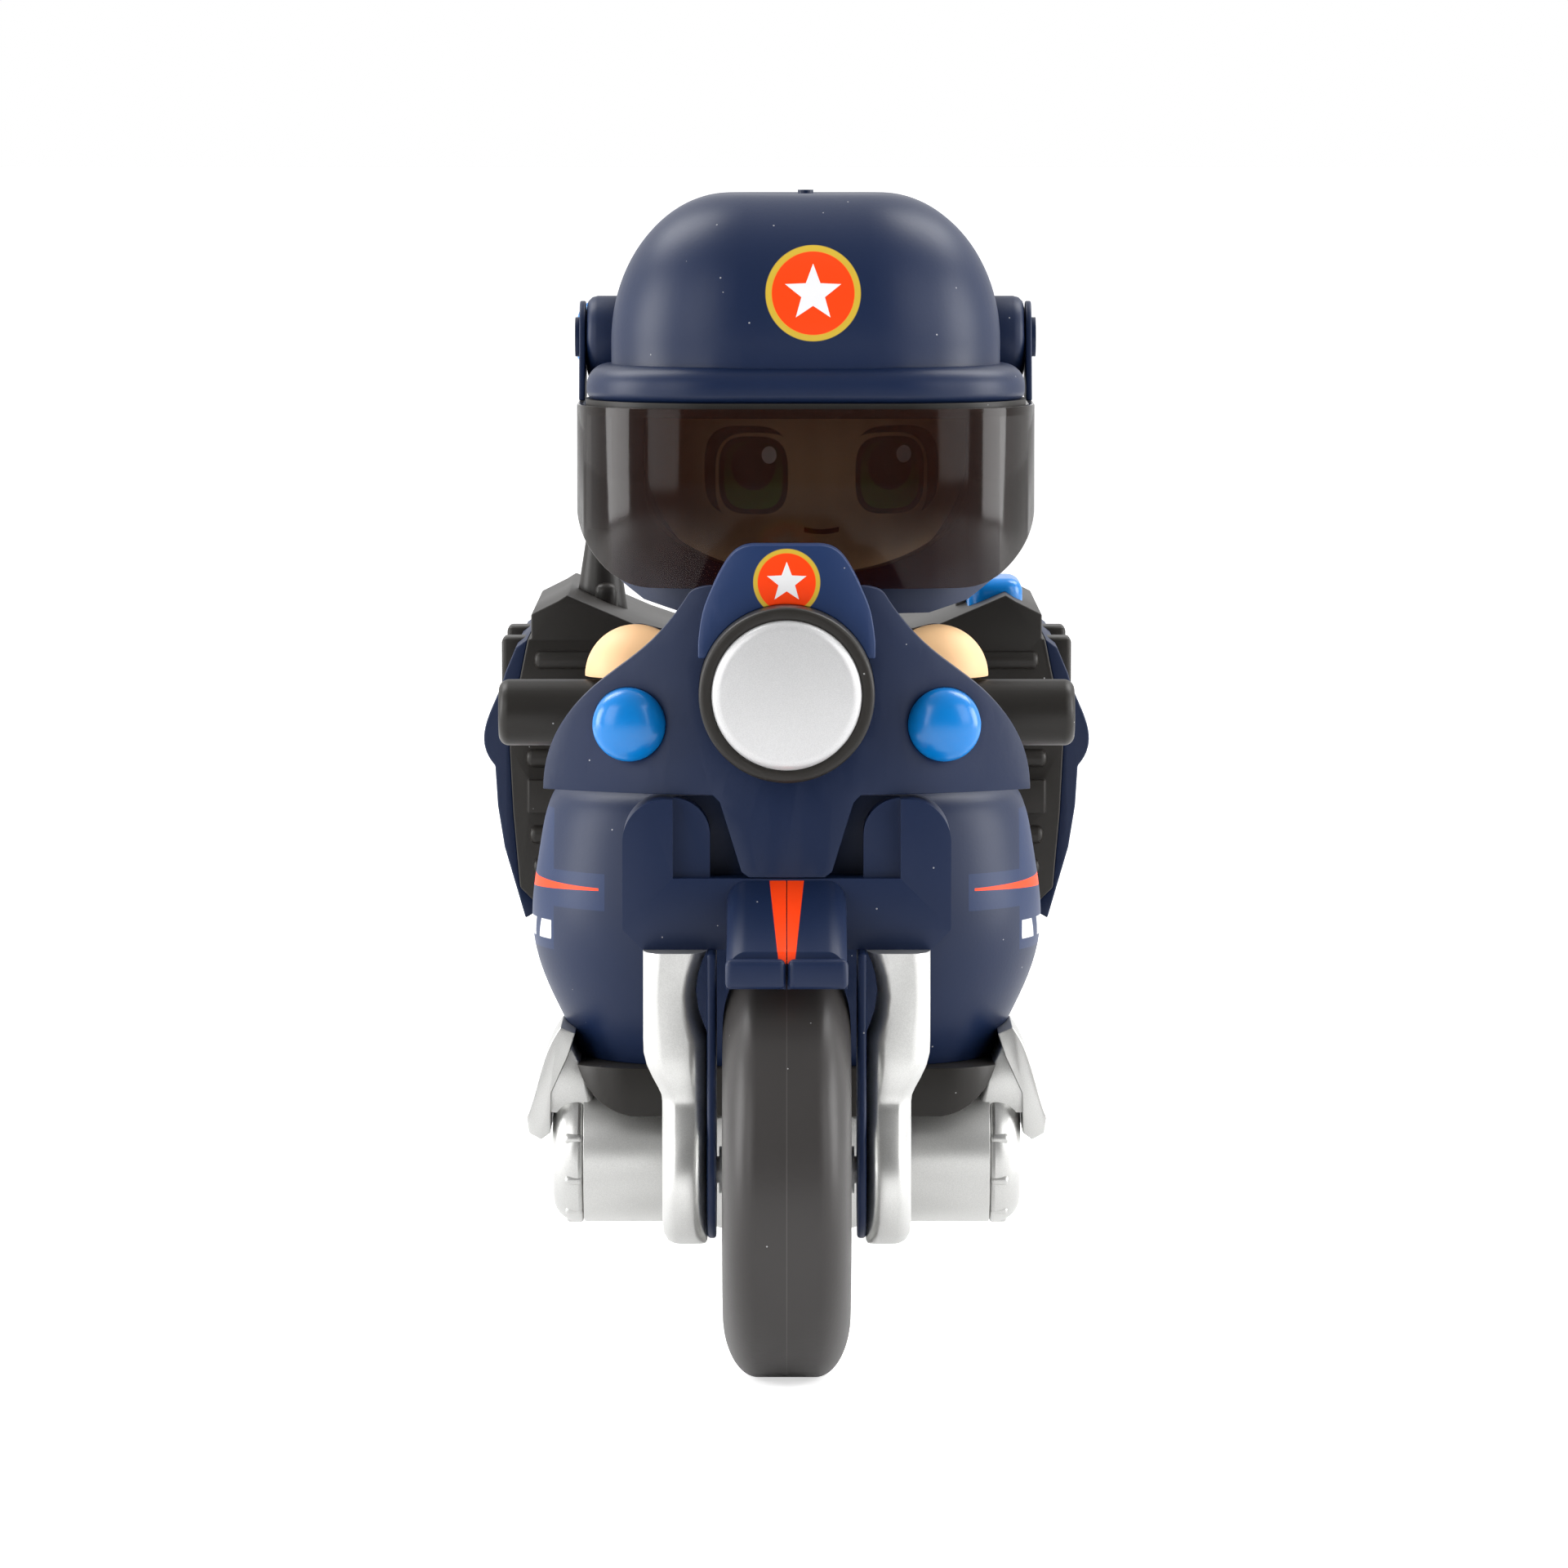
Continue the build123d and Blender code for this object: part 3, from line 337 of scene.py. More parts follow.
def smoked(name, base):
    """Clear plastic tinted brown, with fine upright streaks, and painted shade toward its ends: greyer,
    darker and more opaque there.
    """
    made = Finish(name)
    haze = made.noise(140.0, 3.0, (1, 1, 0.25))
    streaks = made.noise(500.0, 2.0, (1, 1, 0.04))
    x, y, z = made.xyz()
    # painted shade at the visor's ends, 15 to 24 mm out from its middle: the colour turns dark grey and
    # the alpha rises
    ends = {"Value": abs(x - HEAD_X), "From Min": 15 * MM, "From Max": 24 * MM}
    end_shade = made.node("ShaderNodeMapRange", {"clamp": True}, ends)
    # the dark grey is painted shade at the ends; the smoke tint holds in the middle
    made.set(Base_Color=made.mix(end_shade, tuple(base), (0.012, 0.009, 0.0075)), Roughness=haze * 0.05 + 0.06)
    made.set(Alpha=end_shade * 0.28 + streaks * 0.06 + 0.55, Specular_IOR_Level=0.22)
    return made


# --- printed patterns ---------------------------------------------------
DARK = (0.006, 0.005, 0.005)
HELMET_BADGE = (HEAD_X + 0.8 * MM, 119.6 * MM)
PANEL_BADGE_Z = 88.4 * MM
FENDER_LIP_Z = 47.7 * MM
EYE_X, EYE_Z = 7.8 * MM, 98.7 * MM
FACE_SHIFT = HEAD_X + 1.8 * MM
MOUTH_Z = 92.2 * MM
STICKER_BACK = 14.0 * MM


def helmet_print(made, skin):
    x, y, z = made.xyz()
    mark = badge(made, skin, x - HELMET_BADGE[0], z - HELMET_BADGE[1], sizes().badge)
    return made.mix(y < -8 * MM, skin, mark)


def panel_print(made, skin):
    x, y, z = made.xyz()
    return badge(made, skin, x, z - PANEL_BADGE_Z, sizes().panel_badge)


def fender_print(made, skin):
    """A stripe down the top of the fender that narrows toward the front."""
    x, y, z = made.xyz()
    half = (z - FENDER_LIP_Z) * 0.135 + 0.85 * MM
    stripe = (abs(x) - half).below(0, 0.03 * MM) & (z > FENDER_LIP_Z)
    return made.mix(stripe, skin, tuple(colours().red))


def cowl_print(made, skin):
    """A sticker on the side of the cowl: a brighter ground with a tapered stripe and three bars."""
    x, y, z = made.xyz()
    side = abs(x)
    arm = (abs(z - 50.8 * MM) < 2.1 * MM) & (side > 20.9 * MM) & (y < STICKER_BACK)
    plate = (abs(z - 51.6 * MM) < 8.0 * MM) & (side > 26.9 * MM) & (y < STICKER_BACK)
    skin = made.mix(arm | plate, skin, tone(colours().panel, 0.8))
    half = (y + 19.0 * MM) * 0.042 + 0.12 * MM
    stripe = (abs(z - 51.1 * MM) < half) & (side > 21.6 * MM) & (y < 13.4 * MM)
    skin = made.mix(stripe, skin, tuple(colours().red))
    bars = (abs(z - 45.9 * MM) < 1.1 * MM) & (side > 27.2 * MM) & (y < 13.0 * MM)
    gaps = ((y + z * 0.5).math("WRAP", 5.0 * MM, 0.0)) < 3.2 * MM
    return made.mix(bars & gaps, skin, (0.75, 0.76, 0.78))


def oval(across, up, half_width, half_height, power=3.2):
    """1 inside a soft-cornered oval."""
    shape = abs(across / half_width) ** power + abs(up / half_height) ** power
    return shape.below(1.0, 0.05)


def face_print(made, skin):
    """Two big round-cornered eyes with lashes, and a small mark for the mouth."""
    x, y, z = made.xyz()
    x = x - FACE_SHIFT
    side = abs(x) - EYE_X
    up = z - EYE_Z
    lash = oval(side - 0.7 * MM, up - 0.5 * MM, 4.9 * MM, 5.2 * MM)
    cut = oval(side + 0.45 * MM, up + 0.4 * MM, 4.8 * MM, 5.3 * MM)
    face = made.mix(lash * (1 - cut), skin, DARK)
    face = made.mix(oval(side, up, 3.95 * MM, 4.5 * MM), face, DARK)
    glow = made.node("ShaderNodeMapRange", {}, {"Value": up, "From Min": -4 * MM, "From Max": 1.5 * MM})
    iris = made.mix(glow, (0.10, 0.40, 0.03), (0.02, 0.06, 0.008))
    face = made.mix(oval(side, up, 3.35 * MM, 3.9 * MM), face, iris)
    face = made.mix(oval(side, up - 1.1 * MM, 2.5 * MM, 2.8 * MM, 2.0), face, DARK)
    for shine_x in (-6.0, 9.4):
        shine = oval(x - shine_x * MM, up - 2.4 * MM, 0.85 * MM, 1.0 * MM, 2.0)
        face = made.mix(shine, face, (1.0, 0.95, 0.9))
    smile = abs(z - MOUTH_Z - x * x * 70.0) < 0.3 * MM
    face = made.mix(smile & (abs(x) < 2.0 * MM), face, (0.12, 0.02, 0.01))
    return made.mix(y < -10 * MM, skin, face)


def tyre_print(made, skin):
    """The fine line round the crown where the mould halves met."""
    x, y, z = made.xyz()
    return made.mix((abs(x) < sizes().seam / 2) * 0.5, skin, tone(colours().tyre, 2.4))


# --- modelling helpers --------------------------------------------------
def clear_selection():
    """Leaves edit mode and selects nothing, because an operator acts on all that is selected."""
    if bpy.context.object and bpy.context.object.mode != "OBJECT":
        bpy.ops.object.mode_set(mode="OBJECT")
    bpy.ops.object.select_all(action="DESELECT")


def need(missing, what):
    """Stops an operator that cannot finish."""
    if missing:
        raise RuntimeError(f"{what}: {', '.join(sorted(missing))}")


def choose(piece):
    """Makes a piece the only one selected, and the active one."""
    clear_selection()
    piece.hide_viewport = False
    piece.select_set(True)
    bpy.context.view_layer.objects.active = piece
    return piece


def place_in_mesh(piece):
    """Moves a piece's place, turn and scale into its mesh."""
    choose(piece)
    bpy.ops.object.transform_apply(location=True, rotation=True, scale=True)
    return piece


def modify(piece, kind, **settings):
    """Applies one modifier."""
    choose(piece)
    made = piece.modifiers.new(kind.title(), kind)
    for name, value in settings.items():
        setattr(made, name, value)
    bpy.ops.object.modifier_apply(modifier=made.name)
    return piece


def smooth(piece, degrees):
    """Shades a piece smooth, but for edges sharper than so many degrees."""
    choose(piece)
    bpy.ops.object.shade_smooth_by_angle(angle=math.radians(degrees))
    return piece


def dress(piece, name, body, slot, finish, *nodes):
    """Names a finished piece, gives it its finish and lets it ride on its body."""
    piece.name = name
    piece.data.name = name
    piece.data.materials.clear()
    piece.data.materials.append(finish.material)
    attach(piece, body)
    if nodes:
        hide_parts(*nodes)
    return piece


def copy_of(node):
    """A merged copy of a CAD node's mesh, free of the frame."""
    source = frame["nodes"][node]
    piece = source.copy()
    piece.data = source.data.copy()
    for key in list(piece.keys()):
        del piece[key]
    piece.parent = None
    bpy.context.scene.collection.objects.link(piece)
    choose(piece)
    bpy.ops.object.mode_set(mode="EDIT")
    bpy.ops.mesh.select_all(action="SELECT")
    bpy.ops.mesh.remove_doubles(threshold=0.002 * MM)
    bpy.ops.mesh.dissolve_limited(angle_limit=math.radians(0.6))
    bpy.ops.object.mode_set(mode="OBJECT")
    if "custom_normal" in piece.data.attributes:
        bpy.ops.mesh.customdata_custom_splitnormals_clear()
    return piece


def soften(node, width, finish):
    """The CAD node with its sharp moulded edges rounded."""
    piece = copy_of(node)
    modify(
        piece,
        "BEVEL",
        width=width,
        segments=3,
        limit_method="ANGLE",
        angle_limit=math.radians(32),
        miter_outer="MITER_ARC",
        use_clamp_overlap=True,
    )
    smooth(piece, 40)
    return dress(piece, f"{node}_moulded", BODY_OF[node], SLOT_OF[node], finish, node)


def block(name, low, high, rounding, body, slot, finish, segments=3):
    """A moulded block between two corners in mm: a cube shaped by its bevelled edges."""
    low, high = Vector(low) * MM, Vector(high) * MM
    clear_selection()
    bpy.ops.mesh.primitive_cube_add(size=1.0, location=(low + high) / 2)
    piece = bpy.context.object
    piece.scale = high - low
    place_in_mesh(piece)
    bpy.ops.object.mode_set(mode="EDIT")
    bpy.ops.mesh.select_all(action="SELECT")
    bpy.ops.mesh.bevel(offset=rounding * MM, segments=segments, affect="EDGES", clamp_overlap=True)
    bpy.ops.object.mode_set(mode="OBJECT")
    smooth(piece, 50)
    return dress(piece, name, body, slot, finish)


def rod(name, centre, radius, half, axis, rounding, body, slot, finish, sides=48):
    """A round piece along one axis, in mm, with rounded ends."""
    quarter = math.pi / 2
    turn = {"X": (0, quarter, 0), "Y": (quarter, 0, 0), "Z": (0, 0, 0)}[axis]
    clear_selection()
    bpy.ops.mesh.primitive_cylinder_add(
        vertices=sides,
        radius=radius * MM,
        depth=2 * half * MM,
        location=Vector(centre) * MM,
        rotation=turn,
    )
    piece = place_in_mesh(bpy.context.object)
    ends = {"limit_method": "ANGLE", "angle_limit": math.radians(50)}
    modify(piece, "BEVEL", width=rounding * MM, segments=3, **ends)
    smooth(piece, 50)
    return dress(piece, name, body, slot, finish)


def column(name, side, levels, corner, body, slot, finish, *nodes):
    """A post built up level by level, in mm: (height, inner x, outer x, middle y, half depth).

    A plate with rounded corners is extruded and resized from each level to the next."""

    def middle(level):
        z, inner, outer, y, half = level
        return Vector((side * (inner + outer) / 2, y, z)) * MM

    def span(level):
        z, inner, outer, y, half = level
        return Vector((outer - inner, 2 * half, 1.0)) * MM

    clear_selection()
    bpy.ops.mesh.primitive_plane_add(size=1.0, location=middle(levels[0]))
    piece = bpy.context.object
    piece.scale = span(levels[0])
    place_in_mesh(piece)
    bpy.ops.object.mode_set(mode="EDIT")
    bpy.ops.mesh.select_all(action="SELECT")
    bpy.ops.mesh.bevel(offset=corner * MM, segments=6, affect="VERTICES", clamp_overlap=True)
    bpy.ops.mesh.select_all(action="SELECT")
    for before, after in zip(levels, levels[1:]):
        move = middle(after) - middle(before)
        bpy.ops.mesh.extrude_region_move(TRANSFORM_OT_translate={"value": tuple(move)})
        grow = (span(after).x / span(before).x, span(after).y / span(before).y, 1.0)
        bpy.ops.transform.resize(value=grow, center_override=tuple(middle(after)))
    bpy.ops.mesh.select_all(action="SELECT")
    bpy.ops.mesh.normals_make_consistent(inside=False)
    bpy.ops.object.mode_set(mode="OBJECT")
    smooth(piece, 42)
    return dress(piece, name, body, slot, finish, *nodes)


def repeated(first, moves):
    """A piece and its copies, each with its own mesh, moved from the first by so many mm."""
    pieces = [first]
    for move in moves:
        piece = first.copy()
        piece.data = first.data.copy()
        piece.data.transform(Matrix.Translation(Vector(move) * MM))
        bpy.context.scene.collection.objects.link(piece)
        pieces.append(piece)
    return pieces


def joined(name, pieces):
    """Several like pieces as one."""
    clear_selection()
    for piece in pieces:
        piece.select_set(True)
    bpy.context.view_layer.objects.active = pieces[0]
    bpy.ops.object.join()
    made = bpy.context.object
    made.name = name
    made.data.name = name
    return made


FINISHES = {}  # filled by the first operator

# nodes whose finish has a printed pattern; every other node's finish is named by its slot
NODE_FINISH = {
    "helmet": "helmet",
    "head": "face",
    "fairing_panel": "panel",
    **dict.fromkeys(pair("cowl"), "cowl"),
    **dict.fromkeys(pair("front_fender"), "fender"),
    "front_tyre": "tyre",
    "rear_tyre": "tyre",
}
# nodes that are built anew, not just rounded
MODELLED = (*pair("fork_leg"), "headlamp_lens")

# how much rounder or sharper a node's edges are than the usual moulded edge
EDGE_SCALE = {
    **dict.fromkeys(pair("cylinder"), 0.3),
    **dict.fromkeys(pair("crash_guard"), 2.6),
    **dict.fromkeys(pair("pannier"), 2.0),
    **dict.fromkeys(pair("case_cover"), 2.0),
    **dict.fromkeys(pair("boot"), 2.4),
    **dict.fromkeys(pair("valve_cover"), 3.0),
    "yoke": 1.5,
    "fairing": 2.0,
    "fairing_panel": 2.2,
    "rear_rack": 2.0,
    "seat": 2.6,
    "torso": 2.4,
    "helmet": 0.5,
    "visor": 0.5,
    "visor_arms": 0.5,
    "chassis": 1.6,
}


class TOY_OT_finishes(bpy.types.Operator):
    """Makes the finishes that the pieces share"""

    bl_idname = "toy.finishes"
    bl_label = "Finishes"

    def execute(self, context):
        tints = colours()
        FINISHES["navy"] = moulded("navy_plastic", tints.navy)
        FINISHES["panel_blue"] = moulded("panel_plastic", tints.panel, 0.36)
        FINISHES["uniform"] = moulded("uniform_plastic", tints.uniform, 0.5)
        FINISHES["black"] = moulded("black_plastic", tints.black, 0.4)
        FINISHES["silver"] = silver_paint("silver_paint", tints.silver, 0.82)
        FINISHES["pearl"] = silver_paint("pearl_paint", tints.pearl, 0.3)
        FINISHES["lamp_blue"] = glossy("blue_lamp", tints.blue)
        FINISHES["lamp_red"] = glossy("red_lamp", tints.red)
        FINISHES["skin"] = moulded("skin_plastic", tints.skin, 0.45, 0.02, False)
        FINISHES["steel"] = steel("plated_steel")
        FINISHES["helmet"] = moulded("helmet_plastic", tints.navy, 0.38, print_on=helmet_print)
        FINISHES["face"] = moulded("face_plastic", tints.skin, 0.45, 0.02, False, face_print)
        FINISHES["panel"] = moulded("fairing_panel_plastic", tints.panel, 0.36, print_on=panel_print)
        FINISHES["cowl"] = moulded("cowl_plastic", tints.navy, print_on=cowl_print)
        FINISHES["fender"] = moulded("fender_plastic", tints.navy, print_on=fender_print)
        FINISHES["tyre"] = moulded("tyre_crown_plastic", tints.tyre, 0.36, print_on=tyre_print)
        FINISHES["smoke"] = smoked("smoked_plastic", tints.smoke)
        return {"FINISHED"}


class TOY_OT_moulded_parts(bpy.types.Operator):
    """Rounds the edges of the moulded parts whose CAD shape is right"""

    bl_idname = "toy.moulded_parts"
    bl_label = "Moulded parts"

    def execute(self, context):
        named = {*NODE_FINISH, *MODELLED, *EDGE_SCALE}
        need(named - set(frame["nodes"]), "Nodes missing from the frame")
        need({*SLOT_OF.values(), *NODE_FINISH.values()} - set(FINISHES), "Finishes to be made first")
        for node in frame["nodes"]:
            if node in MODELLED:
                continue
            width = sizes().edge * EDGE_SCALE.get(node, 1.0)
            soften(node, width, FINISHES[NODE_FINISH.get(node, SLOT_OF[node])])
        return {"FINISHED"}


class TOY_OT_fork(bpy.types.Operator):
    """Builds the two fork legs: a round-shouldered sleeve over a lower leg with a full boss"""

    bl_idname = "toy.fork"
    bl_label = "Fork legs"

    axle_y = -50.0

    def execute(self, context):
        silver = FINISHES["silver"]
        # height, inner x, outer x, half depth
        levels = (
            (14.9, 9.0, 12.6, 1.6),
            (15.3, 8.8, 13.2, 2.9),
            (16.3, 8.8, 13.7, 4.7),
            (17.8, 8.8, 13.8, 6.3),
            (19.6, 8.8, 13.8, 7.4),
            (21.6, 8.8, 13.8, 8.1),
            (24.0, 8.8, 13.8, 8.1),
            (26.2, 8.8, 13.8, 7.5),
            (28.2, 8.8, 13.8, 6.5),
            (29.8, 8.8, 13.8, 5.6),
            (30.9, 8.8, 13.8, 5.2),
            (31.7, 8.8, 13.9, 5.3),
            (32.6, 8.8, 14.3, 5.7),
            (33.7, 8.8, 14.9, 6.1),
            (35.0, 8.8, 15.5, 6.35),
            (36.4, 8.8, 15.85, 6.4),
            (38.0, 8.8, 15.9, 6.4),
            (39.4, 9.35, 15.9, 6.4),
            (40.8, 9.8, 15.9, 6.4),
            (43.0, 10.1, 15.9, 6.4),
            (45.2, 9.8, 15.9, 6.4),
            (46.6, 9.35, 15.9, 6.4),
            (47.8, 8.8, 15.9, 6.4),
        )
        for side, name in HANDS:
            placed = [(z, inner, outer, self.axle_y, half) for z, inner, outer, half in levels]
            leg = f"fork_leg_{name}"
            column(f"{leg}_moulded", side, placed, 1.1, "steering", "silver", silver, leg)
        return {"FINISHED"}


class TOY_OT_headlamp(bpy.types.Operator):
    """Builds the headlamp's pearl disc, a little proud of its bezel"""

    bl_idname = "toy.headlamp"
    bl_label = "Headlamp"

    radius = 8.3
    middle_y = -52.9
    half = 3.9

    def execute(self, context):
        centre = (0, self.middle_y, LAMP_Z / MM)
        pearl = FINISHES["pearl"]
        disc = rod("pearl_disc", centre, self.radius, self.half, "Y", 1.1, "steering", "pearl", pearl, 96)
        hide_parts("headlamp_lens")
        return {"FINISHED"}


class TOY_OT_case_details(bpy.types.Operator):
    """Adds the ribs, latches and handles of the side cases"""

    bl_idname = "toy.case_details"
    bl_label = "Case details"

    rib_x, rib_y, rib_radius = 22.6, 25.3, 1.15
    ribs = ((49.5, 7.8), (53.4, 8.2), (62.6, 8.6), (66.6, 8.6), (70.6, 8.2), (74.4, 7.6))
    latch_in, latch_out, latch_half = 31.0, 34.5, 2.8
    first_latch_y, latch_gap = 38.0, 20.0
    grip_x, grip_half = 22.0, 1.4

    def execute(self, context):
        black = FINISHES["black"]
        for side, name in HANDS:
            ribs = []
            for z, half in self.ribs:
                place = (side * self.rib_x, self.rib_y, z)
                ribs.append(rod("rib", place, self.rib_radius, half, "X", 0.7, "frame", "black", black))
            joined(f"case_ribs_{name}", ribs)
            near, far = sorted((side * self.latch_in, side * self.latch_out))
            low = (near, self.first_latch_y - self.latch_half, 70.2)
            high = (far, self.first_latch_y + self.latch_half, 76.4)
            latch = block("latch", low, high, 0.6, "frame", "black", black)
            joined(f"case_latches_{name}", repeated(latch, [(0, self.latch_gap, 0)]))
            low = (side * self.grip_x - self.grip_half, 41.0, 78.6)
            high = (side * self.grip_x + self.grip_half, 57.0, 82.6)
            block(f"case_grip_{name}", low, high, 1.1, "frame", "black", black)
        return {"FINISHED"}


class TOY_OT_engine_details(bpy.types.Operator):
    """Adds the bolt heads round the cylinders and the webs behind the crash guards"""

    bl_idname = "toy.engine_details"
    bl_label = "Engine details"

    bolt_x, bolt_circle, bolt_radius = 24.6, 7.75, 0.6
    engine_y, engine_z = -8.0, 19.5
    guard_low = 24.6
    web = (
        (24.6, 22.0, 29.4, -8.0, 4.6),
        (26.4, 22.4, 29.0, -8.0, 5.4),
        (29.0, 23.0, 28.3, -8.0, 5.6),
        (32.0, 24.6, 27.3, -8.0, 5.5),
        (33.6, 25.2, 26.5, -8.0, 4.8),
    )

    def bolt_places(self):
        """Ten bolts round a cylinder, but for those that the guard would cover."""
        places = []
        for step in range(10):
            turn = math.radians(36 * step + 18)
            y = self.engine_y + self.bolt_circle * math.cos(turn)
            z = self.engine_z + self.bolt_circle * math.sin(turn)
            if z < self.guard_low:
                places.append(Vector((0, y, z)))
        return places

    def execute(self, context):
        silver = FINISHES["silver"]
        first, *others = self.bolt_places()
        for side, name in HANDS:
            place = (side * self.bolt_x, first.y, first.z)
            bolt = rod("bolt", place, self.bolt_radius, 1.0, "X", 0.35, "frame", "silver", silver, 16)
            joined(f"cylinder_bolts_{name}", repeated(bolt, [other - first for other in others]))
            column(f"guard_web_{name}", side, self.web, 0.9, "frame", "silver", silver)
        return {"FINISHED"}


class TOY_OT_rider_details(bpy.types.Operator):
    """Adds the rider's belt, buckle, collar and boot soles"""

    bl_idname = "toy.rider_details"
    bl_label = "Rider details"

    neck_y = -2.0
    collar_z = 80.2
    boot_x, sole_half = 17.3, 4.3

    def execute(self, context):
        black, silver, uniform = (FINISHES[name] for name in ("black", "silver", "uniform"))
        block("belt", (-9.5, 2.3, 64.2), (9.5, 17.8, 67.0), 1.3, "rider", "black", black)
        block("buckle", (-1.8, 1.7, 64.4), (1.8, 3.2, 66.8), 0.4, "rider", "silver", silver)
        neck = (HEAD_X / MM, self.neck_y, self.collar_z)
        rod("collar", neck, 5.6, 1.5, "Z", 1.0, "rider", "uniform", uniform)
        for side, name in HANDS:
            low = (side * self.boot_x - self.sole_half, 6.1, 30.75)
            high = (side * self.boot_x + self.sole_half, 22.3, 32.2)
            block(f"sole_{name}", low, high, 0.5, "rider", "black", black)
        return {"FINISHED"}


class TOY_OT_helmet_details(bpy.types.Operator):
    """Adds the round lobes beside the helmet, and a black band under its brim as painted shade in the gap
    above the visor
    """

    bl_idname = "toy.helmet_details"
    bl_label = "Helmet details"

    lobe_x, lobe_y, lobe_z = 22.4, 3.0, 113.6
    band_y, band_low, band_high = -10.7, 105.5, 107.2
    band_width, band_depth, band_wall = 50.6, 33.0, 2.2
    band_corner = 15.4

    def execute(self, context):
        navy = FINISHES["navy"]
        for side, name in HANDS:
            place = (HEAD_X / MM + side * self.lobe_x, self.lobe_y, self.lobe_z)
            rod(f"ear_lobe_{name}", place, 5.0, 3.1, "X", 1.3, "helmet", "navy", navy)
        self.shade_band()
        return {"FINISHED"}

    def shade_band(self):
        """A black band that fills the gap between the brim and the visor, as painted shade."""
        clear_selection()
        place = (HEAD_X, self.band_y * MM, self.band_low * MM)
        bpy.ops.mesh.primitive_plane_add(size=1.0, location=place)
        band = bpy.context.object
        band.scale = (self.band_width * MM, self.band_depth * MM, 1.0)
        place_in_mesh(band)
        bpy.ops.object.mode_set(mode="EDIT")
        bpy.ops.mesh.select_all(action="SELECT")
        bpy.ops.mesh.bevel(offset=self.band_corner * MM, segments=14, affect="VERTICES")
        bpy.ops.mesh.select_all(action="SELECT")
        bpy.ops.mesh.delete(type="ONLY_FACE")
        bpy.ops.mesh.select_all(action="SELECT")
        rise = (0, 0, (self.band_high - self.band_low) * MM)
        bpy.ops.mesh.extrude_region_move(TRANSFORM_OT_translate={"value": rise})
        bpy.ops.mesh.select_all(action="SELECT")
        bpy.ops.mesh.normals_make_consistent(inside=False)
        bpy.ops.object.mode_set(mode="OBJECT")
        modify(band, "SOLIDIFY", thickness=self.band_wall * MM, offset=-1.0)
        smooth(band, 40)
        # black plastic here is painted shade for the gap under the brim
        dress(band, "brim_shade_band", "helmet", "black", FINISHES["black"])


class TOY_OT_fender_lip(bpy.types.Operator):
    """Adds the raised lip along the front edge of the fender, parted at the seam"""

    bl_idname = "toy.fender_lip"
    bl_label = "Fender lip"

    seam_half, lip_end = 0.14, 6.7

    def execute(self, context):
        navy = FINISHES["navy"]
        lips = []
        for side, _name in HANDS:
            low, high = sorted((side * self.seam_half, side * self.lip_end))
            corners = (low, -66.9, 45.0), (high, -65.3, 48.3)
            lips.append(block("lip", *corners, 0.7, "steering", "navy", navy, 4))
        joined("front_fender_lip", lips)
        return {"FINISHED"}


class TOY_OT_tail_details(bpy.types.Operator):
    """Adds the blank plate under the tail lamp"""

    bl_idname = "toy.tail_details"
    bl_label = "Tail details"

    def execute(self, context):
        pearl = FINISHES["pearl"]
        block("blank_plate", (-6.5, 68.6, 49.5), (6.5, 70.0, 56.0), 0.4, "frame", "pearl", pearl)
        return {"FINISHED"}


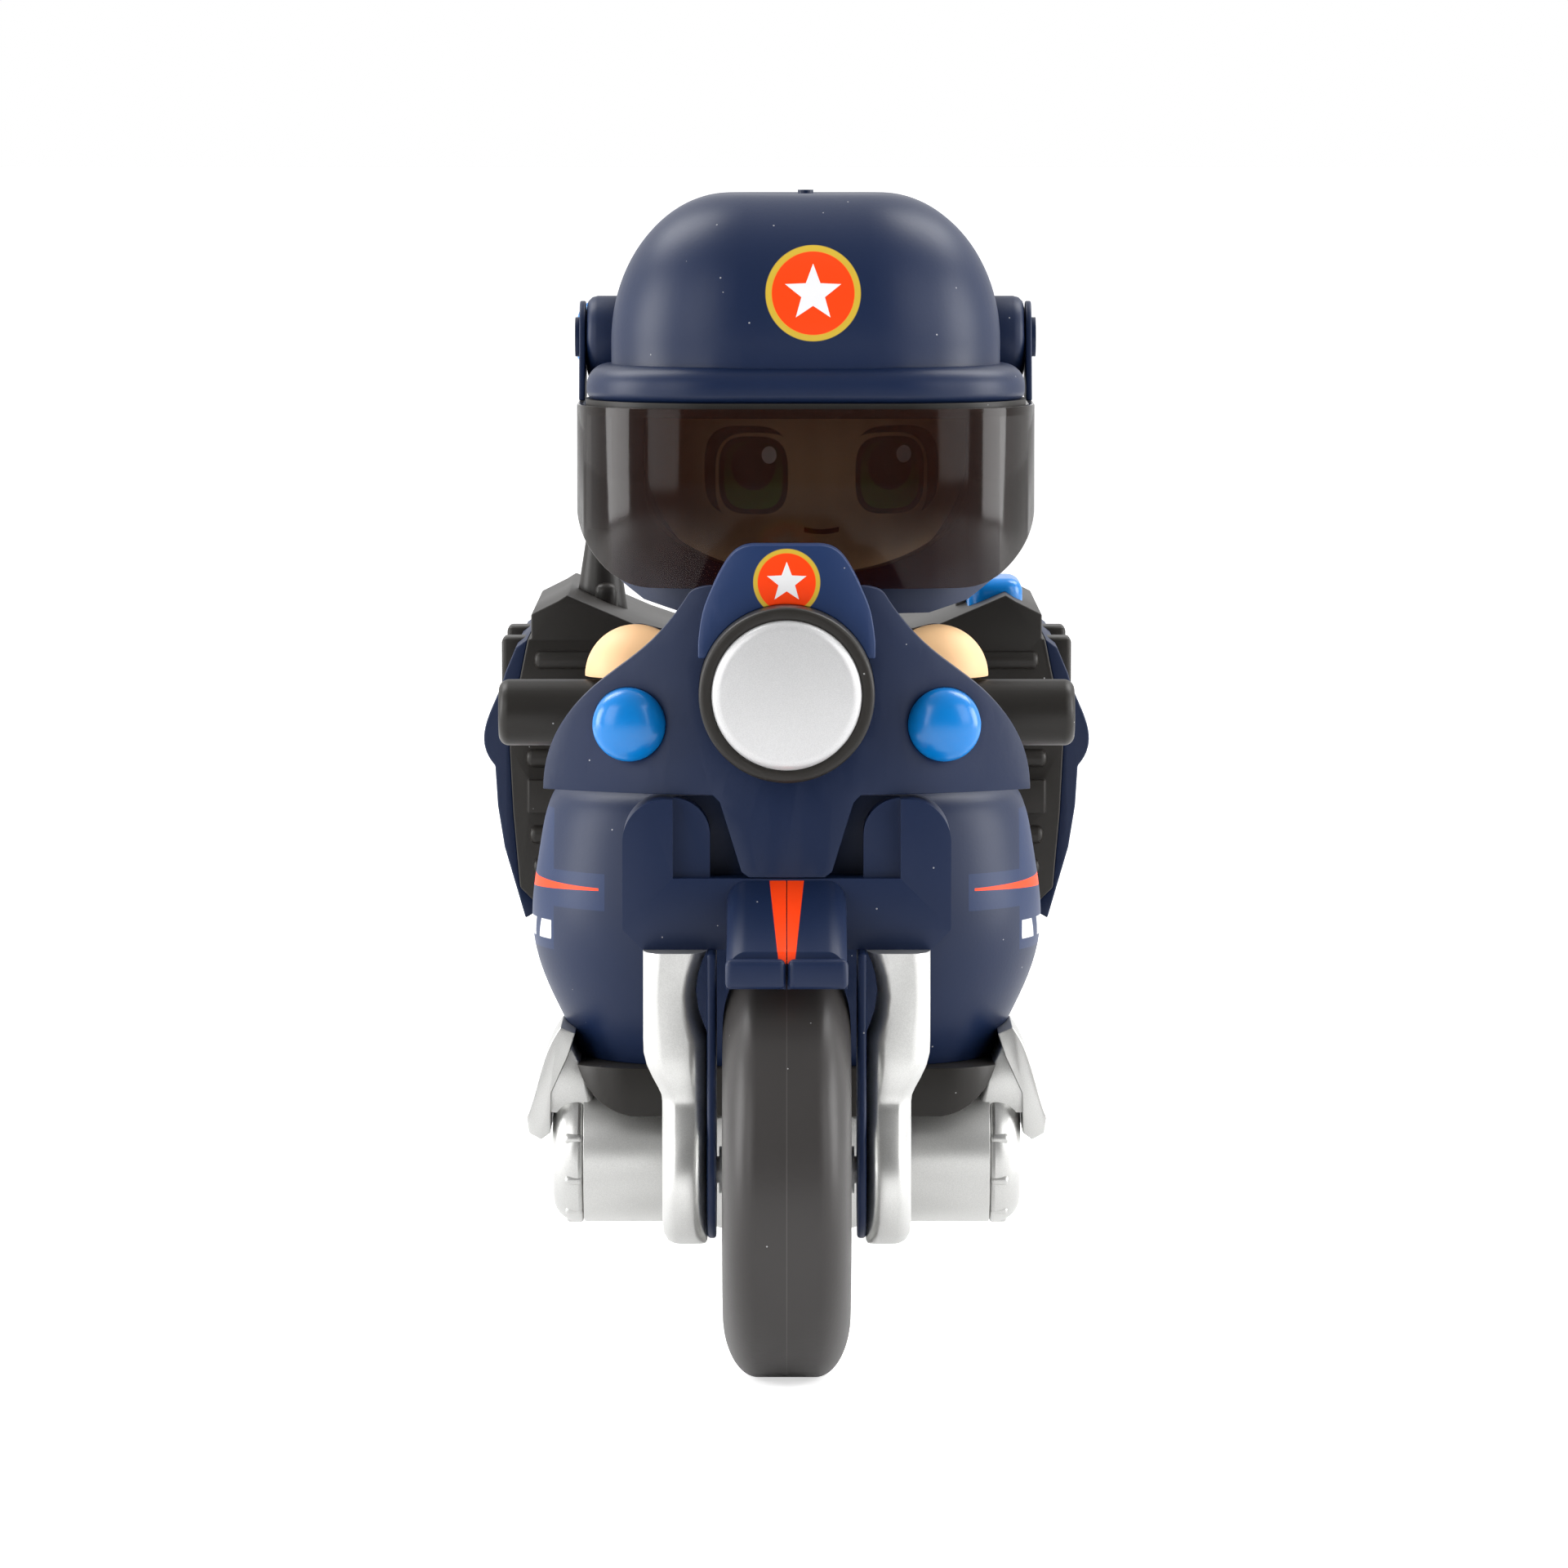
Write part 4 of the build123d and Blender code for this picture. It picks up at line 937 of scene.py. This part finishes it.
class TOY_OT_stage(bpy.types.Operator):
    """Sets the pale floor, the soft lights and the camera"""

    bl_idname = "toy.stage"
    bl_label = "Stage"

    backdrop = 1.0  # how bright the camera sees the sky
    glow = 0.6  # added to the floor where the camera sees it
    camera_place = (-0.0003, -0.9416, 0.1440)
    camera_aim = (-0.0003, -0.045, 0.0656)
    light_aim = (0, 0, 0.07)
    lights = (
        ("softbox", (0.62, -0.62, 0.4), (0.66, -0.55, 0.42), (0.45, 0.7), (3.0, 2.6)),
        ("overhead", (0.42, 0.3, 0.72), (0.42, 0.3, 0.72), (0.35, 0.5), (3.6, 3.6)),
        ("side", (0.85, 0.0, 0.26), (0.85, 0.0, 0.26), (0.4, 0.5), (5.0, 5.0)),
    )

    def soft_light(self, name, place, size, power):
        clear_selection()
        bpy.ops.object.light_add(type="AREA", location=place)
        lamp = bpy.context.object
        lamp.name = name
        lamp.data.shape = "RECTANGLE"
        lamp.data.size, lamp.data.size_y = size
        lamp.data.energy = power
        ahead = Vector(self.light_aim) - Vector(place)
        lamp.rotation_euler = ahead.to_track_quat("-Z", "Y").to_euler()

    def sky(self, tree):
        """Light from behind and above, dim toward the camera, with a plain white backdrop."""
        sky = Shading(tree)
        back = sky.split(sky.node("ShaderNodeTexCoord", {}, {}, "Generated"))[1]
        ramp = {"From Min": -0.9, "From Max": 0.6, "To Min": 0.12, "To Max": 0.95}
        light = sky.node("ShaderNodeMapRange", {}, {"Value": back, **ramp})
        seen = sky.seen()
        background = tree.nodes["Background"]
        sky.feed(background.inputs["Strength"], seen * self.backdrop + (1 - seen) * light)
        sky.feed(background.inputs["Color"], (1, 1, 1, 1))

    def execute(self, context):
        clear_selection()
        bpy.ops.mesh.primitive_circle_add(vertices=96, radius=12.0, fill_type="NGON")
        floor = bpy.context.object
        floor.name = "floor"
        paper = Finish("floor_paper")
        paper.set(Base_Color=(0.93, 0.93, 0.93, 1), Roughness=paper.noise(30.0) * 0.1 + 0.8)
        glow = (self.glow, self.glow, self.glow)
        paper.set(Emission_Color=paper.mix(paper.seen(), (0, 0, 0), glow), Emission_Strength=1.0)
        floor.data.materials.append(paper.material)
        world = bpy.data.worlds.new("studio")
        world.use_nodes = True
        self.sky(world.node_tree)
        context.scene.world = world
        for name, left, right, size, (left_power, right_power) in self.lights:
            self.soft_light(f"left_{name}", (-left[0], *left[1:]), size, left_power)
            self.soft_light(f"right_{name}", right, size, right_power)
        clear_selection()
        bpy.ops.object.camera_add(location=self.camera_place)
        camera = bpy.context.object
        ahead = Vector(self.camera_aim) - camera.location
        camera.rotation_euler = ahead.to_track_quat("-Z", "Y").to_euler()
        camera.data.sensor_width = 36.0
        camera.data.lens = 185.6
        context.scene.camera = camera
        context.scene.view_settings.view_transform = "Standard"
        return {"FINISHED"}


STEPS = (
    TOY_OT_finishes,
    TOY_OT_moulded_parts,
    TOY_OT_fork,
    TOY_OT_headlamp,
    TOY_OT_fender_lip,
    TOY_OT_case_details,
    TOY_OT_engine_details,
    TOY_OT_rider_details,
    TOY_OT_helmet_details,
    TOY_OT_tail_details,
    TOY_OT_stage,
)


class TOY_PT_panel(bpy.types.Panel):
    """Lists the pieces of the toy"""

    bl_label = "Toy motorcycle"
    bl_idname = "TOY_PT_panel"
    bl_space_type = "VIEW_3D"
    bl_region_type = "UI"
    bl_category = "Toy"

    def draw(self, context):
        for step in STEPS:
            self.layout.operator(step.bl_idname)


CLASSES = (ToyColours, ToySizes, *STEPS, TOY_PT_panel)


def register():
    for item in CLASSES:
        bpy.utils.register_class(item)
    bpy.types.Scene.toy_colours = bpy.props.PointerProperty(type=ToyColours)
    bpy.types.Scene.toy_sizes = bpy.props.PointerProperty(type=ToySizes)


def unregister():
    del bpy.types.Scene.toy_sizes
    del bpy.types.Scene.toy_colours
    for item in reversed(CLASSES):
        bpy.utils.unregister_class(item)


def main():
    register()
    for step in STEPS:
        group, name = step.bl_idname.split(".")
        getattr(getattr(bpy.ops, group), name)()


if __name__ == "__main__":
    main()
